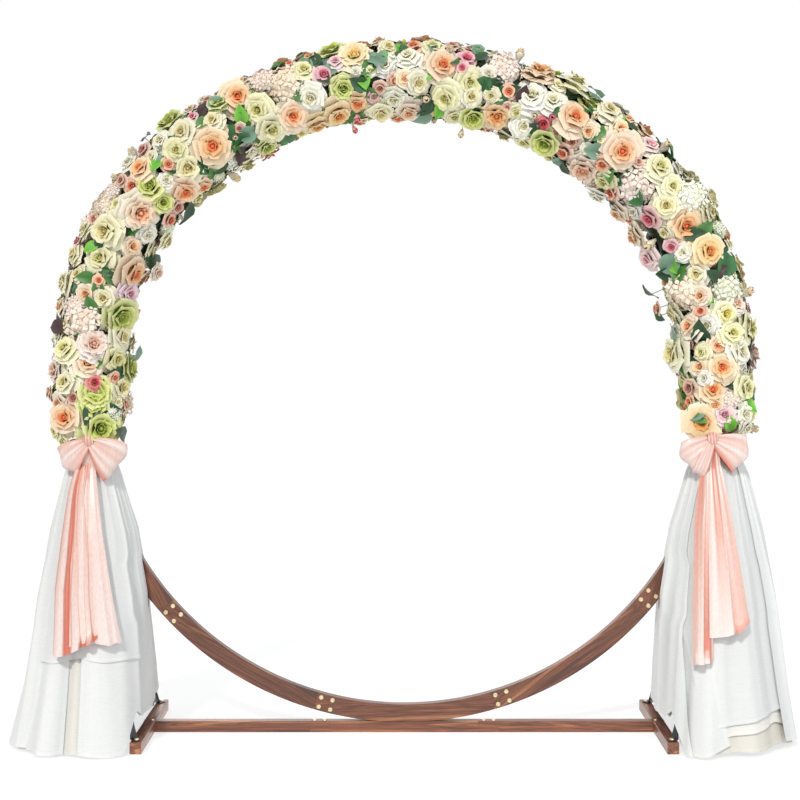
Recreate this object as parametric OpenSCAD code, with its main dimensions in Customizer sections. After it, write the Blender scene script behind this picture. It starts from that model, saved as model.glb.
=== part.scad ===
// Wedding arch: a round timber ring of half-lapped arc segments on a low timber base,
// steadied by four steel braces, dressed with a flower garland, drapes and satin bows.
// Millimetres. +X is right, -Y is the front, +Z is up.
// The origin is on the floor, at the centre of the base rail's underside.

/* [Ring] */
// Outer radius of the timber ring
ring_outer_r = 1100; // [1000:10:1200]
// Width of the ring along its radius
ring_w = 60; // [50:1:75]
// Thickness of the ring from front to back
ring_t = 38; // [30:1:45]
// Number of arc segments in the ring
ring_count = 11; // [10:1:13]
// Length of the half-lap joint between two segments
ring_lap = 70; // [60:1:90]
// Depth that the ring sits down into the base rail
saddle_depth = 3; // [2:0.5:6]

/* [Timber] */
// Open seam left where two timbers meet
seam_gap = 0.5; // [0.3:0.1:0.8]
// Small flat planed along each long edge
edge_flat = 1.5; // [0.5:0.5:3]

/* [Base rail] */
// Height of the base rail and of the feet
rail_h = 38; // [32:1:50]
// Depth of the base rail from front to back
rail_d = 38; // [32:1:50]
// Distance from the centre to each seam on the rail's upper face
rail_upper_seam = 253; // [220:1:270]
// Length of the half lap in the rail
rail_lap = 70; // [50:1:100]

/* [Feet] */
// Distance from the centre to the middle of each foot
foot_x = 870; // [860:1:890]
// Width of each foot
foot_w = 38; // [32:1:45]
// Length of each foot from front to back
foot_len = 600; // [580:5:640]

/* [Braces] */
// Outer diameter of the brace tube
tube_d = 16; // [12:1:20]
// Width of the crushed flat end of the tube
tab_w = 28; // [24:1:32]
// Thickness of the crushed flat end
tab_t = 5; // [3:0.5:6]
// Distance from the bolt to the bend in the flat end
tab_reach = 20; // [16:1:24]
// Length over which the flat end turns into round tube
tab_neck = 40; // [30:1:60]
// Distance from the foot's front end to the front brace's bolt
brace_front_inset = 25; // [20:1:45]
// Distance from the foot's rear end to the rear brace's bolt
brace_rear_inset = 40; // [20:1:60]
// Height of the bolt that holds the braces to the ring
brace_top_z = 930; // [900:5:935]

/* [Flower garland] */
// Angle from the top of the ring to each end of the garland
garland_angle = 95.5; // [88:0.5:96]
// Number of sections that the garland is made in
garland_count = 8; // [6:1:9]
// Half thickness of the garland along the ring's radius
garland_half_w = 126; // [110:1:132]
// Half thickness of the garland from front to back
garland_half_d = 116; // [100:1:124]
// Height of the bumps that the flower heads make
flower_bump = 9; // [4:1:12]
// Spacing of the flower clusters along the garland
flower_pitch = 150; // [120:5:200]
// Clearance between the garland and the ring
garland_gap = 0.6; // [0.5:0.1:0.8]

/* [Drapes] */
// Height of the top of the gathered neck
neck_top_z = 1005; // [995:1:1008]
// Outer radius of the gathered neck
neck_r = 72; // [68:1:76]
// Height of the straight part of the neck
neck_h = 55; // [50:1:60]
// Reach of the hem outwards from the middle of the foot
hem_reach = 438; // [400:1:470]
// Distance from the middle of the foot to the drape's inner edge above it
hem_inset = 14; // [10:1:18]
// Reach of the hem past the foot's end
hem_room = 52; // [48:1:80]
// Room between the braces' middle line and the drape, from front to back
brace_room = 80; // [72:1:95]
// Thickness of the gathered cloth layers
cloth_t = 5; // [4:0.5:6]
// Depth of the folds at the hem
fold_depth = 12; // [4:1:14]
// Number of folds in each half of a drape
fold_count = 5; // [3:1:6]
// Gap under the hem
hem_z = 4; // [3:1:10]
// Height of the hem where it passes over the foot
foot_hem_z = 92; // [88:1:110]

/* [Bows] */
// Height of the sash band round the neck
sash_h = 40; // [30:1:44]
// Thickness of the sash band
sash_t = 12; // [8:1:14]
// Clearance between soft pieces
cloth_gap = 0.4; // [0.3:0.1:0.6]
// Length of each bow loop from the knot
loop_len = 122; // [90:1:130]
// Height of each bow loop
loop_h = 132; // [90:1:136]
// Radius of the knot
knot_r = 20; // [16:1:24]
// Distance from the neck's centre to the knot, towards the arch's centre
knot_offset = 36; // [20:1:40]
// Lowest point of the longer tail
tail_low_z = 318; // [280:1:400]
// Width across both tails at their lower ends
tail_spread = 200; // [160:1:210]
// Width of the gathered tails under the knot
tail_top_w = 10; // [6:1:14]
// Thickness of the tails' satin
tail_t = 3; // [2:0.5:4]

/* [Hidden] */
ring_mid_r = ring_outer_r - ring_w / 2;
ring_inner_r = ring_outer_r - ring_w;
ring_z = rail_h + ring_outer_r - saddle_depth;
ring_step = 360 / ring_count;
lap_angle = ring_lap / ring_mid_r * 180 / PI;
seam_angle = seam_gap / ring_mid_r * 180 / PI;
foot_outer_x = foot_x + foot_w / 2;
foot_inner_x = foot_x - foot_w / 2;
hem_outer_x = foot_x + hem_reach;
hem_inner_x = foot_x - hem_inset;
hem_half_d = foot_len / 2 + hem_room;
half_h = rail_h / 2;
brace_top_x = sqrt(pow(ring_mid_r, 2) - pow(ring_z - brace_top_z, 2));
neck_x = sqrt(pow(ring_mid_r, 2) - pow(ring_z - (neck_top_z - neck_h / 2), 2));
neck_low_z = neck_top_z - neck_h;
slit = ring_t / 2 + cloth_gap;
knot_z = neck_top_z - neck_h / 2 + 6;
knot_x = neck_x - knot_offset;
sash_outer_r = neck_r + cloth_gap + sash_t;
knot_y = -sqrt(pow(sash_outer_r + cloth_gap + knot_r, 2) - pow(knot_offset, 2));
tube_sides = 16;
flat_edge = 0.4;
neck_t = 0.7 * tube_d;
neck_edge = 0.9;
garland_steps = 12;
around = 12;
drape_steps = 11;
drape_points = 25;
row_spread = 1.25;
inner_square = 0.78;
depth_square = 0.2;
fold_start = 0.22;
hem_lift_end = 0.27;
loop_half_l = 0.42 * loop_len;
loop_half_d = 30;
loop_drop = 32;
loop_front = 34;
tail_rows = 9;
tail_columns = 8;
tail_slant = 60;
tail_wave = 5;
tail_gap = 3;
cut = 1;
smooth = 360;

function two(i) = i < 10 ? str("0", i) : str(i);
function segment_name(i) = str("ring_segment_", two(i + 1));
function section_name(i) = str("garland_section_", two(i + 1));
function side_name(s) = s < 0 ? "left" : "right";
function end_name(e) = e < 0 ? "front" : "rear";
function rail_name(s) = str("base_rail_", side_name(s));
function foot_name(s) = str("cross_foot_", side_name(s));
function brace_name(s, e) = str("brace_", side_name(s), "_", end_name(e));
function drape_name(s, e) = str("drape_", side_name(s), "_", end_name(e));
function band_name(s) = str("sash_band_", side_name(s));
function bow_name(s) = str("sash_bow_", side_name(s));
function tails_name(s) = str("sash_tails_", side_name(s));

sides = [-1, 1];

// Faces of a grid of points: rows of n points, closed round each row when ring is true
function quad(a, b, c, d) = [[a, b, c], [a, c, d]];
function grid_faces(rows, n, start, ring, flip) = [
    for (k = [0:rows - 2], i = [0:(ring ? n - 1 : n - 2)])
        let (a = start + k * n + i, b = start + k * n + (i + 1) % n)
        each (flip ? quad(a, b, b + n, a + n) : quad(a, a + n, b + n, b))
];
function flat_list(grid) = [for (row = grid) each row];
function signed_pow(x, p) = sign(x) * pow(abs(x), p);

// A tube with a channel through it, from rows of outer and of inner points
module channelled_tube(outer, inner) {
    rows = len(outer);
    n = len(outer[0]);
    all = rows * n;
    last = (rows - 1) * n;
    polyhedron(
        points = concat(flat_list(outer), flat_list(inner)),
        faces = concat(
            grid_faces(rows, n, 0, true, true),
            grid_faces(rows, n, all, true, false),
            [for (i = [0:n - 1]) each quad((i + 1) % n, i, all + i, all + (i + 1) % n)],
            [for (i = [0:n - 1])
                each quad(last + i, last + (i + 1) % n, all + last + (i + 1) % n, all + last + i)]
        ),
        convexity = 6
    );
}

// A closed sheet with thickness, from rows of front and of back points
module thick_sheet(front, back) {
    rows = len(front);
    n = len(front[0]);
    all = rows * n;
    last = (rows - 1) * n;
    polyhedron(
        points = concat(flat_list(front), flat_list(back)),
        faces = concat(
            grid_faces(rows, n, 0, false, false),
            grid_faces(rows, n, all, false, true),
            [for (i = [0:n - 2]) each quad(i, i + 1, all + i + 1, all + i)],
            [for (i = [0:n - 2]) each quad(last + i + 1, last + i, all + last + i, all + last + i + 1)],
            [for (k = [0:rows - 2])
                each quad((k + 1) * n, k * n, all + k * n, all + (k + 1) * n)],
            [for (k = [0:rows - 2])
                each quad(k * n + n - 1, (k + 1) * n + n - 1, all + (k + 1) * n + n - 1, all + k * n + n - 1)]
        ),
        convexity = 6
    );
}

// The ring's section: a bar with its long edges planed
module ring_section() {
    reach = ring_t / 2;
    polygon([
        [ring_inner_r, -reach + edge_flat],
        [ring_inner_r + edge_flat, -reach],
        [ring_outer_r - edge_flat, -reach],
        [ring_outer_r, -reach + edge_flat],
        [ring_outer_r, reach - edge_flat],
        [ring_outer_r - edge_flat, reach],
        [ring_inner_r + edge_flat, reach],
        [ring_inner_r, reach - edge_flat]
    ]);
}

// Sweeps a section round the ring: angles run anticlockwise from the right, seen from the front
module sweep_arc(from, to) {
    translate([0, 0, ring_z])
        rotate([90, 0, 0])
            rotate([0, 0, from])
                rotate_extrude(angle = to - from, $fn = smooth)
                    children();
}

// What is sawn away at a segment's end for its half lap: side is 1 at the front, -1 at the rear
module lap_waste(from, to, side) {
    sweep_arc(from, to)
        translate([ring_inner_r - cut, side > 0 ? 0 : -ring_t])
            square([ring_w + 2 * cut, ring_t]);
}

// One arc segment: its rear half is shifted by one lap, so that it locks under the next
module ring_segment(i) {
    from = -90 - ring_step / 2 + i * ring_step;
    front_end = from + ring_step - seam_angle;
    spare = 1;
    color("#6b4230")
        difference() {
            sweep_arc(from, front_end + lap_angle)
                ring_section();
            lap_waste(front_end, front_end + lap_angle + spare, 1);
            lap_waste(from - spare, from + lap_angle, -1);
        }
}

// A planed bar along X, centred on Y, standing on the floor
module bar_x(from, to, depth, height) {
    e = edge_flat;
    translate([from, 0, 0])
        rotate([90, 0, 90])
            linear_extrude(to - from)
                polygon([
                    [-depth / 2 + e, 0], [depth / 2 - e, 0], [depth / 2, e], [depth / 2, height - e],
                    [depth / 2 - e, height], [-depth / 2 + e, height], [-depth / 2, height - e],
                    [-depth / 2, e]
                ]);
}

module lap_cut(from, to, low, high) {
    translate([from, -rail_d, low])
        cube([to - from, 2 * rail_d, high - low]);
}

// Middle of the rail, with the ring's saddle and a lower half lap at each end
module base_rail_middle() {
    end = rail_upper_seam + rail_lap - seam_gap;
    color("#6b4230")
        difference() {
            bar_x(-end, end, rail_d, rail_h);
            for (s = sides)
                scale([s, 1, 1])
                    lap_cut(rail_upper_seam, end + cut, half_h, rail_h + cut);
            translate([0, 0, ring_z])
                rotate([90, 0, 0])
                    cylinder(
                        r = ring_outer_r + seam_gap, h = rail_d + 2 * cut, center = true, $fn = smooth
                    );
        }
}

// Outer rail: its upper half laps over the middle one and its end is halved into the foot
module base_rail(s) {
    color("#6b4230")
        mirror([s < 0 ? 1 : 0, 0, 0])
            difference() {
                bar_x(rail_upper_seam + seam_gap, foot_outer_x, rail_d, rail_h);
                lap_cut(rail_upper_seam, rail_upper_seam + rail_lap, -cut, half_h);
                lap_cut(foot_inner_x - seam_gap, foot_outer_x + cut, -cut, half_h);
            }
}

// Foot that runs front to back, with a notch in its top for the end of the rail
module cross_foot(s) {
    notch = rail_d + 2 * seam_gap;
    color("#745545")
        difference() {
            translate([s * foot_x, 0, 0])
                rotate([0, 0, 90])
                    bar_x(-foot_len / 2, foot_len / 2, foot_w, rail_h);
            translate([s * foot_x - foot_w, -notch / 2, half_h])
                cube([2 * foot_w, notch, rail_h]);
        }
}

function unit(v) = v / norm(v);

// Outline of the tube at a station: [middle, across, through, width, thickness, squareness, phase]
function tube_row(station) =
    let (
        across = station[1], through = station[2], w = station[3] / 2, h = station[4] / 2,
        square = station[5], phase = station[6]
    )
    [for (j = [0:tube_sides - 1])
        let (
            a = 360 * j / tube_sides - phase,
            wide = w * signed_pow(cos(a), (1 + square) / 2),
            thick = h * signed_pow(sin(a), square)
        )
        station[0] + across * wide + through * thick];

// Steel tube with both ends crushed flat: one lies on the foot, the other on the ring's face
module brace(s, e) {
    inset = e < 0 ? brace_front_inset : brace_rear_inset;
    foot_bolt = [s * foot_x, e * (foot_len / 2 - inset), rail_h + tab_t / 2];
    ring_bolt = [s * brace_top_x, e * (ring_t / 2 + tab_t / 2), brace_top_z];
    run = ring_bolt - foot_bolt;
    foot_way = unit([run[0], run[1], 0]);
    ring_way = unit([run[0], 0, run[2]]);
    low = foot_bolt + tab_reach * foot_way;
    high = ring_bolt - tab_reach * ring_way;
    axis = unit(high - low);
    foot_across = cross([0, 0, 1], foot_way);
    ring_across = cross([0, 1, 0], ring_way);
    foot_through = cross(axis, foot_across);
    ring_through = cross(axis, ring_across);
    turn = atan2(foot_through * ring_across, foot_across * ring_across);
    foot_up = cross(foot_way, foot_across);
    ring_out = cross(ring_way, ring_across);
    neck_w = (tab_w + tube_d) / 2;
    // Distance from the bolt along the tab and the tab's width there, from its round tip inwards
    tip = [for (a = [75, 50, 25]) [-tab_w / 2 * sin(a), tab_w * cos(a)]];
    stations = concat(
        [for (p = tip) [foot_bolt + p[0] * foot_way, foot_across, foot_up, p[1], tab_t, flat_edge, 0]],
        [
            [foot_bolt, foot_across, foot_up, tab_w, tab_t, flat_edge, 0],
            [low, foot_across, unit(foot_up + foot_through), tab_w, tab_t, flat_edge, 0],
            [low + axis * tab_neck / 2, foot_across, foot_through, neck_w, neck_t, neck_edge, 0],
            [low + axis * tab_neck, foot_across, foot_through, tube_d, tube_d, 1, 0],
            [high - axis * tab_neck, ring_across, ring_through, tube_d, tube_d, 1, turn],
            [high - axis * tab_neck / 2, ring_across, ring_through, neck_w, neck_t, neck_edge, turn],
            [high, ring_across, unit(ring_out + ring_through), tab_w, tab_t, flat_edge, turn],
            [ring_bolt, ring_across, ring_out, tab_w, tab_t, flat_edge, turn]
        ],
        [for (k = [len(tip) - 1:-1:0])
            [ring_bolt - tip[k][0] * ring_way, ring_across, ring_out, tip[k][1], tab_t, flat_edge, turn]]
    );
    rows = [for (station = stations) tube_row(station)];
    last = (len(rows) - 1) * tube_sides;
    color("#17191f")
        polyhedron(
            points = flat_list(rows),
            faces = concat(
                grid_faces(len(rows), tube_sides, 0, true, false),
                [[for (j = [0:tube_sides - 1]) j]],
                [[for (j = [tube_sides - 1:-1:0]) last + j]]
            ),
            convexity = 4
        );
}

// How far the garland's middle lies outside the ring's middle, at an angle from the top:
// the flowers stand fuller on the shoulders and hang inside the ring near the ends
function garland_shift(a) =
    10 + 26 * exp(-pow((abs(a) - 58) / 16, 2)) - 22 * exp(-pow((abs(a) - 88) / 12, 2));
// The garland closes in round the ring over its last stretch
function garland_end(a) = min(1, 0.62 + 0.38 * sqrt(max(0, garland_angle - abs(a)) / 5));
function garland_radius(a, v) =
    let (
        along_ring = a * PI / 180 * ring_mid_r,
        wave = 0.55 * sin(360 * along_ring / flower_pitch + 3 * v)
            + 0.45 * sin(360 * along_ring / (1.7 * flower_pitch) - 2 * v + 40)
    )
    garland_end(a) * (garland_half_w * pow(cos(v), 2) + garland_half_d * pow(sin(v), 2))
        + flower_bump * wave;
// A point at an angle from the ring's top, a radius from its centre and a depth
function ring_point(a, r, y) = [r * sin(a), y, ring_z + r * cos(a)];
function limit(x) = min(1, max(-1, x));
function channel_point(a, v) = ring_point(
    a,
    ring_mid_r + (ring_w / 2 + garland_gap) * limit(cos(v) / cos(30)),
    (ring_t / 2 + garland_gap) * limit(sin(v) / sin(30))
);
function garland_point(a, v) = ring_point(
    a,
    ring_mid_r + garland_shift(a) * garland_end(a) + garland_radius(a, v) * cos(v),
    garland_radius(a, v) * sin(v)
);

// One section of the garland: a bumpy tube of flowers with the ring passing through it
module garland_section(i) {
    span = 2 * garland_angle / garland_count;
    angles = [for (k = [0:garland_steps]) -garland_angle + (i + k / garland_steps) * span];
    turns = [for (j = [0:around - 1]) 360 * j / around];
    color(i % 2 == 0 ? "#e9d3a8" : "#efb489")
        channelled_tube(
            [for (a = angles) [for (v = turns) garland_point(a, v)]],
            [for (a = angles) [for (v = turns) channel_point(a, v)]]
        );
}

// The drape's plan at a height: inner edge, outer edge and half depth
// Each table gives how far the cloth has closed in from the hem to the neck
inner_share = [[0, 0], [0.21, 0.015], [0.516, 0.1], [0.737, 0.354], [0.937, 0.815], [1, 1]];
outer_share = [[0, 0], [0.21, 0.169], [0.516, 0.338], [0.737, 0.563], [0.937, 0.842], [1, 1]];
function inner_x(z) =
    hem_inner_x + (neck_x - neck_r - hem_inner_x) * lookup(z / neck_low_z, inner_share);
function outer_x(z) =
    hem_outer_x + (neck_x + neck_r - hem_outer_x) * lookup(z / neck_low_z, outer_share);
// The cloth hangs clear of the braces, which run from the foot's end up to the ring
function brace_depth(z) =
    let (low = foot_len / 2 - brace_front_inset)
    low - (low - ring_t / 2) * (z - rail_h) / (brace_top_z - rail_h);
function half_d(z) =
    let (clear = function (share) [share, brace_depth(share * neck_low_z) + brace_room])
    lookup(z / neck_low_z, [
        [0, hem_half_d], clear(0.21), clear(0.516), clear(0.737), [0.937, neck_r + 24], [1, neck_r]
    ]);
function ease(x) = let (t = min(1, max(0, x))) t * t * (3 - 2 * t);
function fall(z) = max(0, 1 - z / neck_low_z);

// Outer skin of a drape half: t runs from 0 at the slit for the ring to 1 at the outside.
// The plan is round at the neck and grows a square inner corner towards the hem, where it clears the foot
function skin(t, z, phase, back) =
    let (
        d = half_d(z) - back,
        a_x = (outer_x(z) - inner_x(z)) / 2 - back,
        mid = (outer_x(z) + inner_x(z)) / 2,
        inner_power = 1 - inner_square * fall(z),
        depth_power = 1 - depth_square * fall(z),
        start = asin(pow(slit / d, 1 / depth_power)),
        turn = start + (180 - start) * t,
        folded = ease((t - fold_start) * 4) * ease((1 - t) * 8),
        waves = fold_depth * sqrt(fall(z)) * folded * cos(360 * fold_count * t + phase),
        c = cos(turn) > 0 ? pow(cos(turn), inner_power) : cos(turn),
        s = pow(abs(sin(turn)), depth_power),
        grow = 1 + waves / norm([a_x * c, d * s]),
        least_y = t == 1 ? cloth_gap / 2 : slit * (1 - ease(t * 4))
    )
    [mid - a_x * c * grow, max(least_y, d * s * grow), z];
// Height of the hem round the drape: it lifts over the foot
function hem_height(t) = hem_z + (foot_hem_z - hem_z) * (1 - ease((t - hem_lift_end) * 10));

module drape_half(s, e) {
    phase = s * 50 + e * 35;
    heights = [for (k = [0:drape_steps]) 1 - pow(1 - k / drape_steps, row_spread)];
    function at(t, k, back) =
        let (
            low = hem_height(t),
            z = k >= drape_steps - 1
                ? (k == drape_steps ? neck_top_z : neck_low_z)
                : low + (neck_low_z - low) * heights[k] / heights[drape_steps - 1],
            p = skin(t, z, phase, back)
        )
        [s * p[0], e * p[1], p[2]];
    grid = function (back) [
        for (k = [0:drape_steps]) [for (j = [0:drape_points - 1]) at(j / (drape_points - 1), k, back)]
    ];
    color("#dde1dc")
        if (s * e > 0)
            thick_sheet(grid(cloth_t), grid(0));
        else
            thick_sheet(grid(0), grid(cloth_t));
}

// Sash band that gathers the neck of the drape
module sash_band(s) {
    translate([s * neck_x, 0, neck_top_z - (neck_h + sash_h) / 2])
        color("#e98d76")
            rotate_extrude($fn = smooth)
                translate([neck_r + cloth_gap, 0])
                    square([sash_t, sash_h]);
}

// Knot with two puffed loops
module sash_bow(s) {
    function loop_x(way) = s * knot_x + way * (loop_len - loop_half_l);
    color("#ee9d87")
        union() {
            translate([s * knot_x, knot_y, knot_z])
                sphere(r = knot_r, $fn = 32);
            for (way = sides)
                hull() {
                    // The loop's gathered end lies inside the knot
                    translate([s * knot_x, knot_y - 0.45 * knot_r, knot_z + 0.15 * knot_r])
                        sphere(r = knot_r / 2, $fn = 16);
                    translate([loop_x(way), knot_y - loop_front, knot_z - loop_drop])
                        scale([loop_half_l, loop_half_d, loop_h / 2])
                            sphere(r = 1, $fn = 20);
                }
        }
}

// Two tails that hang from the knot in front of the drape
module sash_tails(s) {
    top_z = knot_z - knot_r - cloth_gap;
    function tail_y(z) = -(half_d(z) + fold_depth * sqrt(fall(z)) + tail_gap);
    function tail_x(u, f) =
        s * knot_x + (f - 0.5) * (tail_top_w + (tail_spread - tail_top_w) * ease(u * 1.15));
    function tail_end(f) = tail_low_z + tail_slant * (s < 0 ? f : 1 - f) * abs(f - 0.5) * 2;
    function tail_at(k, f, back) =
        let (
            u = k / tail_rows,
            z = top_z + (tail_end(f) - top_z) * u,
            hang_y = min(tail_y(z), knot_y + 2 * tail_t)
        )
        [tail_x(u, f), hang_y - tail_wave * cos(720 * f) * u - back, z];
    columns = [for (j = [0:tail_columns]) j / tail_columns];
    color("#f0a592")
        thick_sheet(
            [for (k = [0:tail_rows]) [for (f = columns) tail_at(k, f, 0)]],
            [for (k = [0:tail_rows]) [for (f = columns) tail_at(k, f, tail_t)]]
        );
}

for (i = [0:ring_count - 1]) ring_segment(i);
base_rail_middle();
for (s = sides) base_rail(s);
for (s = sides) cross_foot(s);
for (s = sides, e = sides) brace(s, e);
for (i = [0:garland_count - 1]) garland_section(i);
for (s = sides, e = sides) drape_half(s, e);
for (s = sides) sash_band(s);
for (s = sides) sash_bow(s);
for (s = sides) sash_tails(s);
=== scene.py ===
# %% [markdown]
# # A round wedding arch with flowers, voile and satin
#
# The real object is a ring of bolted pine arcs on a low base. Its upper half carries a garland of
# silk flowers, and each side wears a tent of white voile, gathered by a salmon satin bow.
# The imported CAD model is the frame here: timber and braces keep their own meshes and get real
# finishes, and each plain soft solid is replaced by the flowers or the cloth that it stands for.

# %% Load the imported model
import math
import random

import bmesh
import bpy
import numpy as np
from mathutils import Matrix, Vector


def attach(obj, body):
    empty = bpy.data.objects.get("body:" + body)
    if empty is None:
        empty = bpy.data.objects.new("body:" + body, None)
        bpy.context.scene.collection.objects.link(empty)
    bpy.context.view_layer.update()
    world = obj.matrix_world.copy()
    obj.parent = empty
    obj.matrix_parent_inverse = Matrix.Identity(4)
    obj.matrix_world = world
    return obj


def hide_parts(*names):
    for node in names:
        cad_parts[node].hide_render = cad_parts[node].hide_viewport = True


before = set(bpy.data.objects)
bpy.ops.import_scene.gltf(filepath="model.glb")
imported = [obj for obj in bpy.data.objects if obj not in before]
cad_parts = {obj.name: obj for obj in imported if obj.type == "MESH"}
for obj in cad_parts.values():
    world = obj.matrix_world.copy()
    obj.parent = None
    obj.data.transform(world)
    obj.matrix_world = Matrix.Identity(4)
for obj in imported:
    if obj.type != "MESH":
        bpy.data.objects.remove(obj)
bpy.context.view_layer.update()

# %% [markdown]
# ## Camera and light
#
# The picture was taken from a little over five metres, at chest height, with a short telephoto.
# Such a lens keeps the ring almost a true circle. The camera is set first.

# %% Camera
LOOKS_DOWN = 2.47
camera_data = bpy.data.cameras.new("camera")
camera_data.sensor_width = 36.0
camera_data.lens = 70.56
camera = bpy.data.objects.new("camera", camera_data)
camera.location = (-0.014, -5.318, 1.364)
camera.rotation_euler = (math.radians(90 - LOOKS_DOWN), 0, 0)
bpy.context.scene.collection.objects.link(camera)
bpy.context.scene.camera = camera
bpy.context.scene.view_settings.view_transform = "Standard"
print("camera:", tuple(round(v, 3) for v in camera.location), camera_data.lens, "mm")


# %% [markdown]
# ## Small helpers
#
# Colours are written as sRGB hex, as a dye chart gives them, but Blender mixes light in linear
# values, so one function turns them. A second adds a shader node with its settings and links,
# and a third starts a material. The last makes an object of a finished mesh. Its place is in the
# mesh and its origin stays at zero, as with the CAD model's own pieces, so a pattern on Object
# coordinates stays in place.

# %% Colours and nodes
def linear(hex_colour):
    """An sRGB hex colour as the linear values that Blender works with."""
    parts = [int(hex_colour[i:i + 2], 16) / 255 for i in (1, 3, 5)]
    values = [c / 12.92 if c <= 0.04045 else ((c + 0.055) / 1.055) ** 2.4 for c in parts]
    return (*values, 1.0)


def add(tree, kind, inputs=None, stops=None, **settings):
    """Add one shader node. inputs are values or sockets to link, stops fill a colour ramp."""
    made = tree.nodes.new(kind)
    for name, value in settings.items():
        setattr(made, name, value)
    for name, value in (inputs or {}).items():
        if isinstance(value, bpy.types.NodeSocket):
            tree.links.new(value, made.inputs[name])
        else:
            made.inputs[name].default_value = value
    for index, (place, colour) in enumerate(stops or []):
        elements = made.color_ramp.elements
        element = elements[index] if index < len(elements) else elements.new(place)
        element.position = place
        element.color = linear(colour)
    return made


def new_material(name):
    """A material with its node tree and its main shader."""
    material = bpy.data.materials.new(name)
    material.use_nodes = True
    return material, material.node_tree, material.node_tree.nodes["Principled BSDF"]


def new_piece(mesh, name, slot, *materials):
    """An object at the origin for a finished mesh, riding on the arch's one body."""
    piece = bpy.data.objects.new(name, mesh)
    bpy.context.scene.collection.objects.link(piece)
    for material in materials:
        mesh.materials.append(material)
    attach(piece, "root")
    return piece


# %% [markdown]
# ## Daylight
#
# The real arch stands out of doors: a high, slightly warm sun from the front left and an even
# sky. A sun lamp of six degrees gives soft edged shadows. The sky is kept weak, because it
# reaches into the folds from all sides and would wash them out. The camera, and whatever
# mirrors the surroundings, sees pure white in its place.

# %% Daylight
SKY_STRENGTH, SUN_STRENGTH, FILL_STRENGTH = 0.46, 1.62, 60
world = bpy.data.worlds.new("soft_daylight")
bpy.context.scene.world = world
world.use_nodes = True
sky = world.node_tree
path = add(sky, "ShaderNodeLightPath")
seen = add(sky, "ShaderNodeMath", {0: path.outputs["Is Camera Ray"],
                                   1: path.outputs["Is Glossy Ray"]}, operation="MAXIMUM")
seen = add(sky, "ShaderNodeMath", {0: seen.outputs[0],
                                   1: path.outputs["Is Transmission Ray"]}, operation="MAXIMUM")
white = add(sky, "ShaderNodeBackground", {"Color": (1, 1, 1, 1), "Strength": 1.0})
shade = add(sky, "ShaderNodeBackground", {"Color": (0.95, 0.975, 1.0, 1),
                                             "Strength": SKY_STRENGTH})
both = add(sky, "ShaderNodeMixShader", {0: seen.outputs[0], 1: shade.outputs[0],
                                        2: white.outputs[0]})
sky.links.new(both.outputs[0], sky.nodes["World Output"].inputs["Surface"])


def lamp(name, kind, place, aim, strength, size, colour):
    """A lamp aimed at a point. size is in degrees for the sun, and in metres for a disc."""
    data = bpy.data.lights.new(name, kind)
    data.energy = strength
    data.color = colour
    if kind == "SUN":
        data.angle = math.radians(size)
    else:
        data.shape = "DISK"
        data.size = size
    light = bpy.data.objects.new(name, data)
    light.location = place
    light.rotation_euler = (Vector(aim) - Vector(place)).to_track_quat("-Z", "Y").to_euler()
    bpy.context.scene.collection.objects.link(light)


lamp("high_sun", "SUN", (-1.4, -4.2, 4.8), (0, 0, 0.9), SUN_STRENGTH, 6, (1.0, 0.965, 0.91))
lamp("front_fill", "AREA", (2.6, -4.6, 2.4), (0, 0, 1.0), FILL_STRENGTH, 3.0,
     (0.97, 0.985, 1.0))
lamp("back_fill", "AREA", (-1.5, 4.5, 3.0), (0, 0, 1.0), FILL_STRENGTH, 3.0,
     (0.97, 0.98, 1.0))

# %% [markdown]
# ## The floor
#
# The arch stands on a plain white ground that runs into a white background. A white floor lit
# by lamps is never quite the white behind it, so what the camera sees is six tenths the floor's
# own glow and four tenths its lit surface. The glow is stronger than white by as much as the
# lit part falls short of it. The soft shadow under the rail and the hems stays.

# %% Floor
GLOW_SHARE, GLOW_STRENGTH = 0.6, 1.22
FLOOR_REACH = 30.0
floor_material, tree, shader = new_material("matt white floor")
shader.inputs["Base Color"].default_value = linear("#f7f7f7")
shader.inputs["Roughness"].default_value = 0.9
path = add(tree, "ShaderNodeLightPath")
glow = add(tree, "ShaderNodeMath", {0: path.outputs["Is Camera Ray"], 1: GLOW_SHARE},
           operation="MULTIPLY")
glow = add(tree, "ShaderNodeMath", {0: glow.outputs[0], 1: path.outputs["Is Glossy Ray"]},
           operation="MAXIMUM")
glow = add(tree, "ShaderNodeMath", {0: glow.outputs[0],
                                    1: path.outputs["Is Transmission Ray"]}, operation="MAXIMUM")
emission = add(tree, "ShaderNodeEmission", {"Color": (1, 1, 1, 1), "Strength": GLOW_STRENGTH})
floor_mix = add(tree, "ShaderNodeMixShader", {0: glow.outputs[0], 1: shader.outputs[0],
                                              2: emission.outputs[0]})
tree.links.new(floor_mix.outputs[0], tree.nodes["Material Output"].inputs["Surface"])
bm = bmesh.new()
bmesh.ops.create_grid(bm, x_segments=1, y_segments=1, size=FLOOR_REACH)
# Half a millimetre below the feet, so that the two never share a plane
bmesh.ops.translate(bm, verts=bm.verts, vec=(0, 0, -0.0005))
floor_mesh = bpy.data.meshes.new("floor")
bm.to_mesh(floor_mesh)
bm.free()
floor = bpy.data.objects.new("floor", floor_mesh)
floor_mesh.materials.append(floor_material)
bpy.context.scene.collection.objects.link(floor)
print("floor:", 2 * FLOOR_REACH, "m square")

# %% [markdown]
# ## Stained pine
#
# The ring is sawn from flat boards, so the grain runs straight along each arc piece and the
# curve cuts through it. That is what tells a real segmented ring from a bent one. Each segment
# gets its own copy of the stain, turned along its board and shifted, so that no two match.
# The growth lines are 6 to 15 mm apart, and the fibres are drawn about 1.5 mm wide, a little
# coarser than real, so that they show.

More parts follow.
